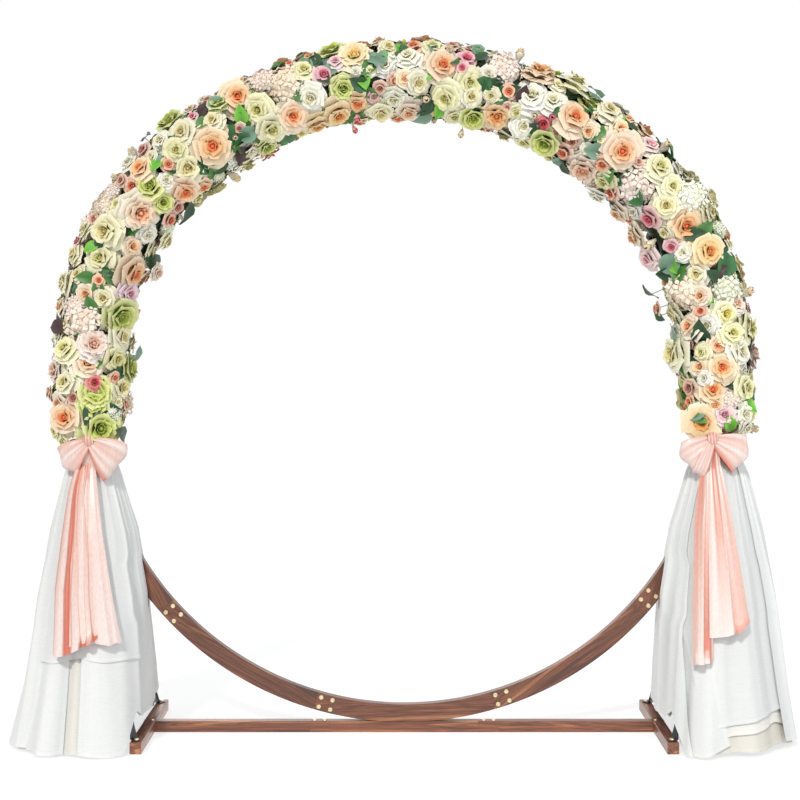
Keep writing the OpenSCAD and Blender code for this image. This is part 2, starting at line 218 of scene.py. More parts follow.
# %% Timber
SEGMENTS = 11
RING_STEP = 360 / SEGMENTS
# How far a half lap reaches round the ring, in degrees
LAP_ANGLE = 3.748


def stained_pine(name, turn, shift, light):
    """Dark stained pine with its grain along a board that is turned in the ring's plane.
    shift picks another stretch of the wood, and light above 1 makes the stain paler."""
    material, tree, shader = new_material(name)
    place = add(tree, "ShaderNodeTexCoord").outputs["Object"]
    board = add(tree, "ShaderNodeMapping", {"Vector": place, "Rotation": (0, turn, 0)})
    board = board.outputs[0]
    rings = add(tree, "ShaderNodeMapping", {
        "Vector": board, "Location": (shift * 3.7, shift * 1.3, shift * 2.1),
        "Scale": (1.9, 26, 52)})
    growth = add(tree, "ShaderNodeTexNoise", {
        "Vector": rings.outputs[0], "Scale": 1.0, "Detail": 4.0, "Roughness": 0.55,
        "Distortion": 0.9})
    stain = add(tree, "ShaderNodeValToRGB", {"Fac": growth.outputs["Fac"]}, stops=[
        (0.26, "#37201a"), (0.40, "#5c3526"), (0.47, "#7d4a34"), (0.52, "#55311f"),
        (0.60, "#8a5539"), (0.72, "#a87650")])
    long_fibres = add(tree, "ShaderNodeMapping", {
        "Vector": board, "Location": (shift, shift * 5.1, 0), "Scale": (14, 420, 640)})
    fibre = add(tree, "ShaderNodeTexNoise", {
        "Vector": long_fibres.outputs[0], "Scale": 1.0, "Detail": 2.0, "Roughness": 0.6})
    pores = add(tree, "ShaderNodeValToRGB", {"Fac": fibre.outputs["Fac"]}, stops=[
        (0.30, "#8a8a8a"), (0.62, "#ffffff")])
    wood = add(tree, "ShaderNodeMix", {0: 0.75, 6: stain.outputs[0], 7: pores.outputs[0]},
               data_type="RGBA", blend_type="MULTIPLY")
    tone = add(tree, "ShaderNodeMix", {0: 1.0, 6: wood.outputs[2], 7: (light, light, light, 1)},
               data_type="RGBA", blend_type="MULTIPLY")
    tree.links.new(tone.outputs[2], shader.inputs["Base Color"])
    rough = add(tree, "ShaderNodeMapRange", {
        "Value": fibre.outputs["Fac"], "To Min": 0.36, "To Max": 0.58})
    tree.links.new(rough.outputs[0], shader.inputs["Roughness"])
    bump = add(tree, "ShaderNodeBump", {
        "Height": fibre.outputs["Fac"], "Strength": 0.25, "Distance": 0.0006})
    tree.links.new(bump.outputs[0], shader.inputs["Normal"])
    shader.inputs["IOR"].default_value = 1.5
    shader.inputs["Coat Weight"].default_value = 0.35
    shader.inputs["Coat Roughness"].default_value = 0.22
    return material


dice = random.Random(11)
timber_turns = {f"ring_segment_{i + 1:02d}": math.radians(i * RING_STEP + LAP_ANGLE / 2)
                for i in range(SEGMENTS)}
timber_turns.update({"base_rail_middle": 0, "base_rail_left": 0, "base_rail_right": 0})
# The rails and feet get a paler copy of the stain than the ring: painted light for the sky that
# their tops reflect
RAIL_PAINTED_LIGHT, FOOT_PAINTED_LIGHT = 1.7, 1.8
for name, turn in timber_turns.items():
    wood = stained_pine("stained_pine_" + name, turn, dice.uniform(0, 9),
                        dice.uniform(1.15, 1.5) if "ring" in name else RAIL_PAINTED_LIGHT)
    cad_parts[name].material_slots[0].material = wood


# %% [markdown]
# The feet lie front to back, so their grain runs along Y. Turning the board about Z instead
# would need another function, and a swap of the axes does the same: the boards' coordinates are
# separated and joined again in another order.

# %% Feet
def turn_grain_to_y(material):
    """Feed the board's Mapping node with X and Y swapped."""
    tree = material.node_tree
    first = next(n for n in tree.nodes if n.type == "MAPPING"
                 and n.inputs["Vector"].links[0].from_node.type == "TEX_COORD")
    split = add(tree, "ShaderNodeSeparateXYZ", {0: first.inputs["Vector"].links[0].from_socket})
    swapped = add(tree, "ShaderNodeCombineXYZ", {
        "X": split.outputs["Y"], "Y": split.outputs["X"], "Z": split.outputs["Z"]})
    tree.links.new(swapped.outputs[0], first.inputs["Vector"])


for name in ("cross_foot_left", "cross_foot_right"):
    wood = stained_pine("stained_pine_" + name, 0, dice.uniform(0, 9), FOOT_PAINTED_LIGHT)
    turn_grain_to_y(wood)
    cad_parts[name].material_slots[0].material = wood
print("timber finishes:", sum("stained_pine" in m.name for m in bpy.data.materials))

# %% [markdown]
# ## Black enamel braces
#
# The braces are thin steel tube, crushed flat at both ends and stove enamelled. Enamel
# gives a deep black with a soft highlight, a faint orange peel of 3 mm ripples, and dust that
# lies in patches of two or three centimetres.

# %% Braces
enamel, tree, shader = new_material("black stove enamel on steel tube")
place = add(tree, "ShaderNodeTexCoord").outputs["Object"]
dust = add(tree, "ShaderNodeTexNoise", {"Vector": place, "Scale": 42.0, "Detail": 4.0})
black = add(tree, "ShaderNodeValToRGB", {"Fac": dust.outputs["Fac"]}, stops=[
    (0.35, "#0d0f14"), (0.75, "#2a2d36")])
tree.links.new(black.outputs[0], shader.inputs["Base Color"])
rough = add(tree, "ShaderNodeMapRange", {"Value": dust.outputs["Fac"], "To Min": 0.22,
                                         "To Max": 0.5})
tree.links.new(rough.outputs[0], shader.inputs["Roughness"])
peel = add(tree, "ShaderNodeTexNoise", {"Vector": place, "Scale": 300.0, "Detail": 1.0})
bump = add(tree, "ShaderNodeBump", {"Height": peel.outputs["Fac"], "Strength": 0.1,
                                    "Distance": 0.0004})
tree.links.new(bump.outputs[0], shader.inputs["Normal"])
shader.inputs["Coat Weight"].default_value = 0.4
shader.inputs["Coat Roughness"].default_value = 0.15
BRACES = [f"brace_{side}_{end}" for side in ("left", "right") for end in ("front", "rear")]
for name in BRACES:
    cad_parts[name].material_slots[0].material = enamel
print("enamelled:", BRACES)

# %% [markdown]
# ## Bolts
#
# Every lap is clamped by four furniture bolts: a wide yellow plated head in front with a hex
# socket, and a domed nut behind. The steel is zinc plated and passivated yellow, which gives a
# soft pale gold that is a little blotchy where hands have touched it.

# %% Plating of the bolts
yellow_zinc, tree, shader = new_material("pale yellow zinc on steel")
place = add(tree, "ShaderNodeTexCoord").outputs["Object"]
tarnish = add(tree, "ShaderNodeTexNoise", {"Vector": place, "Scale": 160.0, "Detail": 3.0})
metal = add(tree, "ShaderNodeValToRGB", {"Fac": tarnish.outputs["Fac"]}, stops=[
    (0.3, "#cdb98a"), (0.7, "#f1e6c6")])
tree.links.new(metal.outputs[0], shader.inputs["Base Color"])
shader.inputs["Metallic"].default_value = 0.85
rough = add(tree, "ShaderNodeMapRange", {"Value": tarnish.outputs["Fac"], "To Min": 0.25,
                                         "To Max": 0.42})
tree.links.new(rough.outputs[0], shader.inputs["Roughness"])
print("bolts:", yellow_zinc.name)


# %% [markdown]
# A head is a short cone with a rounded rim, whose top is inset twice and pushed in. It is made
# once. All heads are copies of that mesh, turned and moved by a matrix and joined into one piece,
# which is lighter than an object for each.

# %% Bolt heads
def bolt_head(radius, thick, socket):
    """A button head along +Z with its underside at zero, and a recess if it has a socket."""
    bm = bmesh.new()
    bmesh.ops.create_cone(bm, cap_ends=True, segments=24, radius1=radius,
                          radius2=radius * 0.86, depth=thick)
    bmesh.ops.translate(bm, verts=bm.verts, vec=(0, 0, thick / 2))
    top = max(bm.faces, key=lambda f: f.calc_center_median().z)
    rim = list(top.edges)
    bmesh.ops.bevel(bm, geom=rim, offset=thick * 0.3, offset_type="OFFSET", affect="EDGES",
                    segments=2, profile=0.5, material=-1)
    top = max(bm.faces, key=lambda f: f.calc_center_median().z)
    if socket:
        bmesh.ops.inset_individual(bm, faces=[top], thickness=radius * 0.34, depth=0)
        bmesh.ops.inset_individual(bm, faces=[top], thickness=radius * 0.05,
                                   depth=-thick * 0.6)
    mesh = bpy.data.meshes.new("bolt_head")
    bm.to_mesh(mesh)
    bm.free()
    return mesh


def join_copies(name, placed):
    """One mesh from (mesh, matrix) pairs."""
    bm = bmesh.new()
    for mesh, matrix in placed:
        copy = mesh.copy()
        copy.transform(matrix)
        bm.from_mesh(copy)
        bpy.data.meshes.remove(copy)
    joined = bpy.data.meshes.new(name)
    bm.to_mesh(joined)
    bm.free()
    return joined


def facing(direction, place, spin=0.0, size=1.0):
    """A matrix that turns +Z to a direction, at a place. spin is about that direction."""
    turned = Vector(direction).to_track_quat("Z", "Y").to_matrix().to_4x4()
    return Matrix.Translation(place) @ turned @ Matrix.Rotation(spin, 4, "Z") \
        @ Matrix.Scale(size, 4)


# The ring's centre height, the radius of its middle line and half its thickness
RING_Z, RING_MID_R, RING_HALF_T = 1.135, 1.07, 0.019
# Along the lap from its seam in millimetres, and across the board in metres
LAP_BOLTS_ALONG, LAP_BOLTS_ACROSS = (15, 55), (-0.0165, 0.0165)
head_mesh = bolt_head(0.0082, 0.0032, True)
nut_mesh = bolt_head(0.0090, 0.0040, False)
ring_bolts = []
for i in range(SEGMENTS):
    seam = -90 - RING_STEP / 2 + i * RING_STEP
    for along in LAP_BOLTS_ALONG:
        angle = math.radians(seam + math.degrees(along / 1000 / RING_MID_R))
        for across in LAP_BOLTS_ACROSS:
            radius = RING_MID_R + across
            x, z = radius * math.cos(angle), RING_Z + radius * math.sin(angle)
            ring_bolts.append((head_mesh, facing((0, -1, 0), (x, -RING_HALF_T, z), angle)))
            ring_bolts.append((nut_mesh, facing((0, 1, 0), (x, RING_HALF_T, z), angle)))
new_piece(join_copies("ring_bolts", ring_bolts), "ring_bolts", "bolt_metal", yellow_zinc)
print("ring bolts:", len(ring_bolts) // 2)

# %% [markdown]
# The base is bolted from above: two bolts through each lap of the rail, one where the rail
# drops into a foot, and one through each flat tab of a brace. The braces' upper tabs are
# bolted to the ring's two faces, inside the tents.

# %% Base and brace bolts
RAIL_TOP, RAIL_LAP_BOLTS, FOOT_BOLT_X = 0.038, (0.272, 0.306), 0.862
# On top of a tab, which is bent thin steel: sideways, front and back, and up
LOWER_TAB_X, LOWER_TABS_Y, LOWER_TAB_TOP = 0.87, (-0.275, 0.26), 0.043
UPPER_TAB_X, UPPER_TABS_Y, UPPER_TAB_Z = 1.0501, (-0.024, 0.024), 0.93
base_bolts = []
for side in (-1, 1):
    for along in RAIL_LAP_BOLTS:
        base_bolts.append((head_mesh, facing((0, 0, 1), (side * along, 0, RAIL_TOP))))
    base_bolts.append((head_mesh, facing((0, 0, 1), (side * FOOT_BOLT_X, 0, RAIL_TOP),
                                         size=0.8)))
    for y in LOWER_TABS_Y:
        base_bolts.append((nut_mesh, facing((0, 0, 1), (side * LOWER_TAB_X, y, LOWER_TAB_TOP),
                                            size=0.95)))
    for y in UPPER_TABS_Y:
        base_bolts.append((nut_mesh, facing((0, y, 0), (side * UPPER_TAB_X, y, UPPER_TAB_Z),
                                            size=0.9)))
new_piece(join_copies("base_bolts", base_bolts), "base_bolts", "bolt_metal", yellow_zinc)
print("base and brace bolts:", len(base_bolts))

# %% [markdown]
# ## Silk flowers
#
# A silk flower is die cut petals, pressed over a hot ball and stacked on a stem. Here too each
# head is rings of petals round an axis: every petal starts as a flat grid of a dozen faces and
# is curled into place, tight and upright in the middle, wide and flat outside.
# The colour is dyed from the heart outwards, and a painted shade darkens each petal towards its
# base, so both are stored on the points as an attribute instead of being painted by a pattern.
# One silk material then serves all the kinds, and a waxed one all the leaves. Its creases are
# 7 mm across, as the hot ball leaves them, and their hollows are a little darker: painted shade.

# %% Silk
def dyed_fabric(name, roughness, sheen, crease):
    """Fabric whose colour is the points' attribute of dye and painted light, with painted shade in
    the hollows of its creases. crease is how deep its fine creases are.
    """
    material, tree, shader = new_material(name)
    dye_and_shade = add(tree, "ShaderNodeAttribute", attribute_name="dye_and_painted_light")
    place = add(tree, "ShaderNodeTexCoord").outputs["Object"]
    creases = add(tree, "ShaderNodeTexNoise", {"Vector": place, "Scale": 150.0, "Detail": 3.0})
    # Painted shade: the same noise that bumps the creases makes their hollows a little darker
    crease_hollow_shade = add(tree, "ShaderNodeValToRGB", {"Fac": creases.outputs["Fac"]}, stops=[
        (0.25, "#f0f0f0"), (0.6, "#ffffff")])
    colour = add(tree, "ShaderNodeMix", {0: 0.7, 6: dye_and_shade.outputs["Color"],
                                         7: crease_hollow_shade.outputs[0]},
                 data_type="RGBA", blend_type="MULTIPLY")
    tree.links.new(colour.outputs[2], shader.inputs["Base Color"])
    bump = add(tree, "ShaderNodeBump", {"Height": creases.outputs["Fac"], "Strength": crease,
                                        "Distance": 0.002})
    tree.links.new(bump.outputs[0], shader.inputs["Normal"])
    shader.inputs["Roughness"].default_value = roughness
    shader.inputs["Sheen Weight"].default_value = sheen
    shader.inputs["Sheen Roughness"].default_value = 0.5
    shader.inputs["IOR"].default_value = 1.45
    return material


petal_silk = dyed_fabric("dyed matt polyester petals with painted shade", 0.7, 0.15, 0.35)
leaf_silk = dyed_fabric("dyed waxed polyester leaves", 0.42, 0.0, 0.5)
print("silks:", petal_silk.name, "and", leaf_silk.name)

# %% [markdown]
# The rings of a head are given as petals, radius, height, half width in degrees, flare and
# droop of the rim, for a head of radius 1. The number after the rings is how much the petals
# are ruffled. A rose winds tight and opens in five rings, a peony has more and ruffled petals,
# and a cabbage rose stays a closed globe.

# %% Forms and dyes
FORMS = {
    "rose": ([(3, 0.17, 0.86, 84, 0.03, 0.01), (3, 0.32, 0.88, 76, 0.09, 0.04),
              (4, 0.48, 0.80, 66, 0.14, 0.08), (5, 0.66, 0.62, 56, 0.20, 0.16),
              (6, 0.84, 0.34, 50, 0.22, 0.18)], 0.034),
    "peony": ([(4, 0.22, 0.78, 64, 0.06, 0.02), (6, 0.42, 0.82, 50, 0.10, 0.05),
               (7, 0.60, 0.72, 46, 0.14, 0.09), (7, 0.76, 0.54, 44, 0.16, 0.12),
               (7, 0.88, 0.28, 44, 0.18, 0.14)], 0.065),
    "cabbage": ([(4, 0.22, 0.80, 66, 0.00, 0.00), (5, 0.42, 0.88, 60, 0.02, 0.01),
                 (6, 0.64, 0.84, 54, 0.05, 0.03), (6, 0.86, 0.66, 52, 0.08, 0.05),
                 (6, 0.98, 0.36, 50, 0.10, 0.08)], 0.036),
    "open": ([(5, 0.34, 0.40, 54, 0.08, 0.03), (6, 0.60, 0.42, 50, 0.16, 0.07),
              (6, 0.84, 0.34, 48, 0.22, 0.12)], 0.04),
    "small": ([(3, 0.28, 0.90, 82, 0.04, 0.01), (4, 0.54, 0.84, 66, 0.13, 0.08),
               (5, 0.80, 0.50, 56, 0.22, 0.16)], 0.02),
    "bud": ([(3, 0.52, 1.75, 84, -0.34, 0.00), (3, 0.66, 1.25, 84, -0.16, 0.00)], 0.01),
}
# Each kind: its form, then its dye at the heart, half way out and at the rim
KINDS = {
    "peach": ("rose", "#f0662a", "#fcc08a", "#feecd6"),
    "peach_pale": ("rose", "#f29c5e", "#fcd6ae", "#fff2e2"),
    "apricot": ("rose", "#f08c36", "#fccf8a", "#feebc6"),
    "apricot_open": ("open", "#ea9236", "#f9cf98", "#fdeaca"),
    "apricot_peony": ("peony", "#f08a40", "#fccb92", "#feead0"),
    "peony_cream": ("peony", "#f6c46a", "#fde6bc", "#fff5e2"),
    "blush_peach": ("peony", "#f2a074", "#fcdac0", "#fff3e8"),
    "cream": ("rose", "#dcc878", "#f8efc0", "#fefae6"),
    "cream_green": ("rose", "#c4c060", "#f3eeb6", "#fcf8da"),
    "white": ("rose", "#dcd4a8", "#faf6e4", "#fffdf6"),
    "yellow": ("rose", "#ecd862", "#faf0ae", "#fdf9dc"),
    "blush": ("peony", "#e8a88e", "#fadfd0", "#fff4ee"),
    "pink_pale": ("rose", "#e090a4", "#f5cbd4", "#fce9ec"),
    "pink": ("small", "#da5470", "#f29aa8", "#fad6dc"),
    "coral": ("small", "#e0603c", "#f5a484", "#fbdcc8"),
    "dusty": ("small", "#b87060", "#e4a898", "#f5d8cc"),
    "red": ("small", "#b02430", "#e05a64", "#f5a0a6"),
    "lime": ("cabbage", "#94a82e", "#d0da72", "#f2f5bc"),
    "lime_bud": ("cabbage", "#9aae38", "#d6de7c", "#f1f4b4"),
    "bud_cream": ("bud", "#eed2ac", "#f8e8cc", "#fdf5e4"),
    "coral_bud": ("small", "#e87048", "#f7b08c", "#fbd4b8"),
    "pink_bud": ("bud", "#e4607a", "#f298a6", "#f9c8d0"),
    "yellow_bud": ("bud", "#dcd02c", "#eee55c", "#f5f09c"),
    "hydrangea_blush": ("hydrangea", "#e4bca8", "#f9e8dc", "#fff8f2"),
    "hydrangea_white": ("hydrangea", "#d2da9e", "#f3f5e4", "#fdfdf8"),
}
print("forms:", len(FORMS), "kinds:", len(KINDS))


# %% [markdown]
# One petal is a small flat grid. Its width is bent round the head's axis, its rim flares and
# droops, and a little chance in its lean and height keeps two neighbours from matching.
# The same points get their dye, and a painted shade that darkens them towards the base, where
# petals shade each other.

# %% One petal
# A shade over a full turn in radians, for spins by chance
FULL_TURN = 6.3


def dye_at(dyes, share):
    """The dye at a share of the way from the heart to the rim."""
    heart, middle, rim = dyes
    if share < 0.5:
        return heart + (middle - heart) * share * 2
    return middle + (rim - middle) * (share * 2 - 1)


def add_petal(bm, dye_and_painted_light, ring, phase, ruffle, dyes, reach, luck):
    """Curl one flat grid into a petal: u runs across it, v from its base to its rim. phase is
    where it stands round the head, and reach how far the dye has got from heart to rim."""
    _, radius, height, half, flare, droop = ring
    made = bmesh.ops.create_grid(bm, x_segments=4, y_segments=3, size=1.0)["verts"]
    lean = luck.uniform(-0.05, 0.05)
    lift = luck.uniform(-0.07, 0.07)
    radius *= luck.uniform(0.90, 1.08)
    for vert in made:
        u, v = vert.co.x, (vert.co.y + 1) / 2
        width = math.sin(math.pi * (0.14 + 0.66 * v))
        angle = phase + math.radians(half) * u * width
        rim = max(0.0, (v - 0.5) / 0.5) ** 2
        wave = ruffle * math.sin(4 * u + 9 * phase) * v
        out = radius * (0.2 + 0.8 * v ** 0.62) + (flare + lean) * rim + 0.07 * radius * u * u * v
        out += wave
        up = (height + lift) * math.sin(math.pi / 2 * v ** 0.85) - droop * rim
        # The corners of the rim hang a little
        up -= 0.16 * height * u * u * v * v
        vert.co = (out * math.cos(angle), out * math.sin(angle), up + wave * 0.7)
        share = min(1.0, reach * (0.66 + 0.34 * v) + 0.16 * rim + 0.05 * u * u)
        # Painted shade: the dye is darkened towards the petal's base
        colour = dye_at(dyes, share) * (0.50 + 0.50 * v ** 0.6)
        vert[dye_and_painted_light] = (*colour, 1.0)


def heart_ball(bm, dye_and_painted_light, radius, height, flat, colour):
    """The bud in the middle of a head, or the dome that florets stand on."""
    made = bmesh.ops.create_uvsphere(bm, u_segments=10, v_segments=6, radius=radius)["verts"]
    for vert in made:
        vert.co.z = vert.co.z * flat + height
        vert[dye_and_painted_light] = (*colour, 1.0)


# %% [markdown]
# A hydrangea is another thing: thirty small florets of four petals stand on a dome. They are set
# on a spiral whose turn is the golden angle, as in a sunflower, because it leaves no rows.

# %% Hydrangeas
FLORETS = 30
GOLDEN_TURN = 2.39996


def hydrangea(bm, dye_and_painted_light, dyes, luck):
    """A dome of small four-petalled florets, set on a spiral."""
    for k in range(FLORETS):
        share = (k + 0.5) / FLORETS
        polar = math.acos(1 - share)
        turn = k * GOLDEN_TURN
        out = Vector((math.sin(polar) * math.cos(turn), math.sin(polar) * math.sin(turn),
                      math.cos(polar)))
        tilted = out + Vector([luck.uniform(-0.35, 0.35) for _ in range(3)])
        spot = facing(tilted, out * luck.uniform(0.78, 0.98), luck.uniform(0, FULL_TURN),
                      luck.uniform(0.25, 0.34))
        paler = luck.uniform(0.5, 1.0)
        for petal in range(4):
            made = bmesh.ops.create_grid(bm, x_segments=2, y_segments=3, size=1.0)["verts"]
            for vert in made:
                u, v = vert.co.x, (vert.co.y + 1) / 2
                angle = petal * math.pi / 2 + u * (0.20 + 0.46 * math.sin(2.6 * v))
                reach = (0.06 + 1.0 * v) * (1 - 0.24 * u * u * v)
                cup = 0.42 * v * (1 - 0.6 * abs(u)) - 0.14 * v * v + 0.05 * (petal % 2)
                vert.co = spot @ Vector((reach * math.cos(angle), reach * math.sin(angle), cup))
                vert[dye_and_painted_light] = (*dye_at(dyes, min(1, paler * (0.55 + 0.50 * v))), 1.0)
    bmesh.ops.scale(bm, verts=bm.verts, vec=(1.0, 1.0, 0.78))
    heart_ball(bm, dye_and_painted_light, 0.84, 0.0, 0.76, dye_at(dyes, 0.45))


# %% [markdown]
# A whole head stacks its rings from the heart outwards, each ring started at a chance angle.
# Three heads of every kind are enough, since each copy is spun, scaled and tinted later.

# %% Heads
HEADS_OF_A_KIND = 3


def flower_head(kind, seed):
    """A head of radius 1, standing on the origin along +Z."""
    form, *hexes = KINDS[kind]
    dyes = [np.array(linear(h)[:3]) for h in hexes]
    luck = random.Random(seed)
    bm = bmesh.new()
    dye_and_painted_light = bm.verts.layers.float_color.new("dye_and_painted_light")
    if form == "hydrangea":
        hydrangea(bm, dye_and_painted_light, dyes, luck)
    else:
        rings, ruffle = FORMS[form]
        if form not in ("bud", "open"):
            heart_ball(bm, dye_and_painted_light, 0.13, 0.44, 2.2, dye_at(dyes, 0.12))
        for k, ring in enumerate(rings):
            reach = 0.06 + 0.94 * (k / (len(rings) - 1)) ** 0.7
            start = luck.uniform(0, FULL_TURN)
            for p in range(ring[0]):
                phase = start + 2 * math.pi * (p + luck.uniform(-0.1, 0.1)) / ring[0]
                add_petal(bm, dye_and_painted_light, ring, phase, ruffle, dyes, reach, luck)
    mesh = bpy.data.meshes.new(kind)
    bm.to_mesh(mesh)
    bm.free()
    return mesh


heads = {kind: [flower_head(kind, 100 * k + v) for v in range(HEADS_OF_A_KIND)]
         for k, kind in enumerate(KINDS)}
print("head kinds:", len(heads), "faces of a rose:", len(heads["peach"][0].polygons))

# %% [markdown]
# Leaves are cut from waxed cloth with a pressed midrib. A grid of two dozen faces is narrowed to
# a leaf's outline, folded along the middle and arched. Dark rose leaves, grey eucalyptus, ivy
# and a few burgundy ones differ in outline and dye.

# %% Leaves
# Each kind: its outline, then its dye at the midrib and at the edge
LEAVES = {
    "dark": ("rose", "#16301a", "#2c5230"),
    "green": ("rose", "#2a5626", "#548c3e"),
    "bright": ("rose", "#48982c", "#84cc48"),
    "grey": ("round", "#4c6e58", "#84a68e"),
    "burgundy": ("rose", "#1f1416", "#4a2a2c"),
    "ivy": ("lobed", "#1e4626", "#3a7840"),
}


def leaf_width(form, v):
    """Half a leaf's width at a share of its length."""
    if form == "round":
        return 0.44 * math.sin(math.pi * min(1, v * 0.96 + 0.02)) ** 0.6
    if form == "lobed":
        lobes = 0.62 + 0.38 * abs(math.cos(2.5 * math.pi * v))
        return 0.50 * math.sin(math.pi * v) ** 0.8 * lobes
    return 0.33 * math.sin(math.pi * v ** 0.85) ** 0.85


def leaf(kind):
    """A leaf of length 1 along +Y from the origin, its face up."""
    form, *hexes = LEAVES[kind]
    midrib, edge = (np.array(linear(h)[:3]) for h in hexes)
    bm = bmesh.new()
    dye_and_painted_light = bm.verts.layers.float_color.new("dye_and_painted_light")
    bmesh.ops.create_grid(bm, x_segments=4, y_segments=6, size=1.0)
    for vert in bm.verts:
        u, v = vert.co.x, (vert.co.y + 1) / 2
        wave = 0.03 * math.sin(11 * v) * u
        vert.co = (u * leaf_width(form, v), v,
                   0.10 * abs(u) * math.sin(math.pi * v) - 0.24 * v * v + 0.08 * v + wave)
        vert[dye_and_painted_light] = (*(midrib + (edge - midrib) * (0.35 + 0.65 * abs(u))), 1.0)
    bmesh.ops.remove_doubles(bm, verts=bm.verts, dist=0.0005)
    mesh = bpy.data.meshes.new("leaf_" + kind)
    bm.to_mesh(mesh)
    bm.free()
    return mesh


leaves = {kind: leaf(kind) for kind in LEAVES}
print("leaf faces:", {k: len(m.polygons) for k, m in leaves.items()})
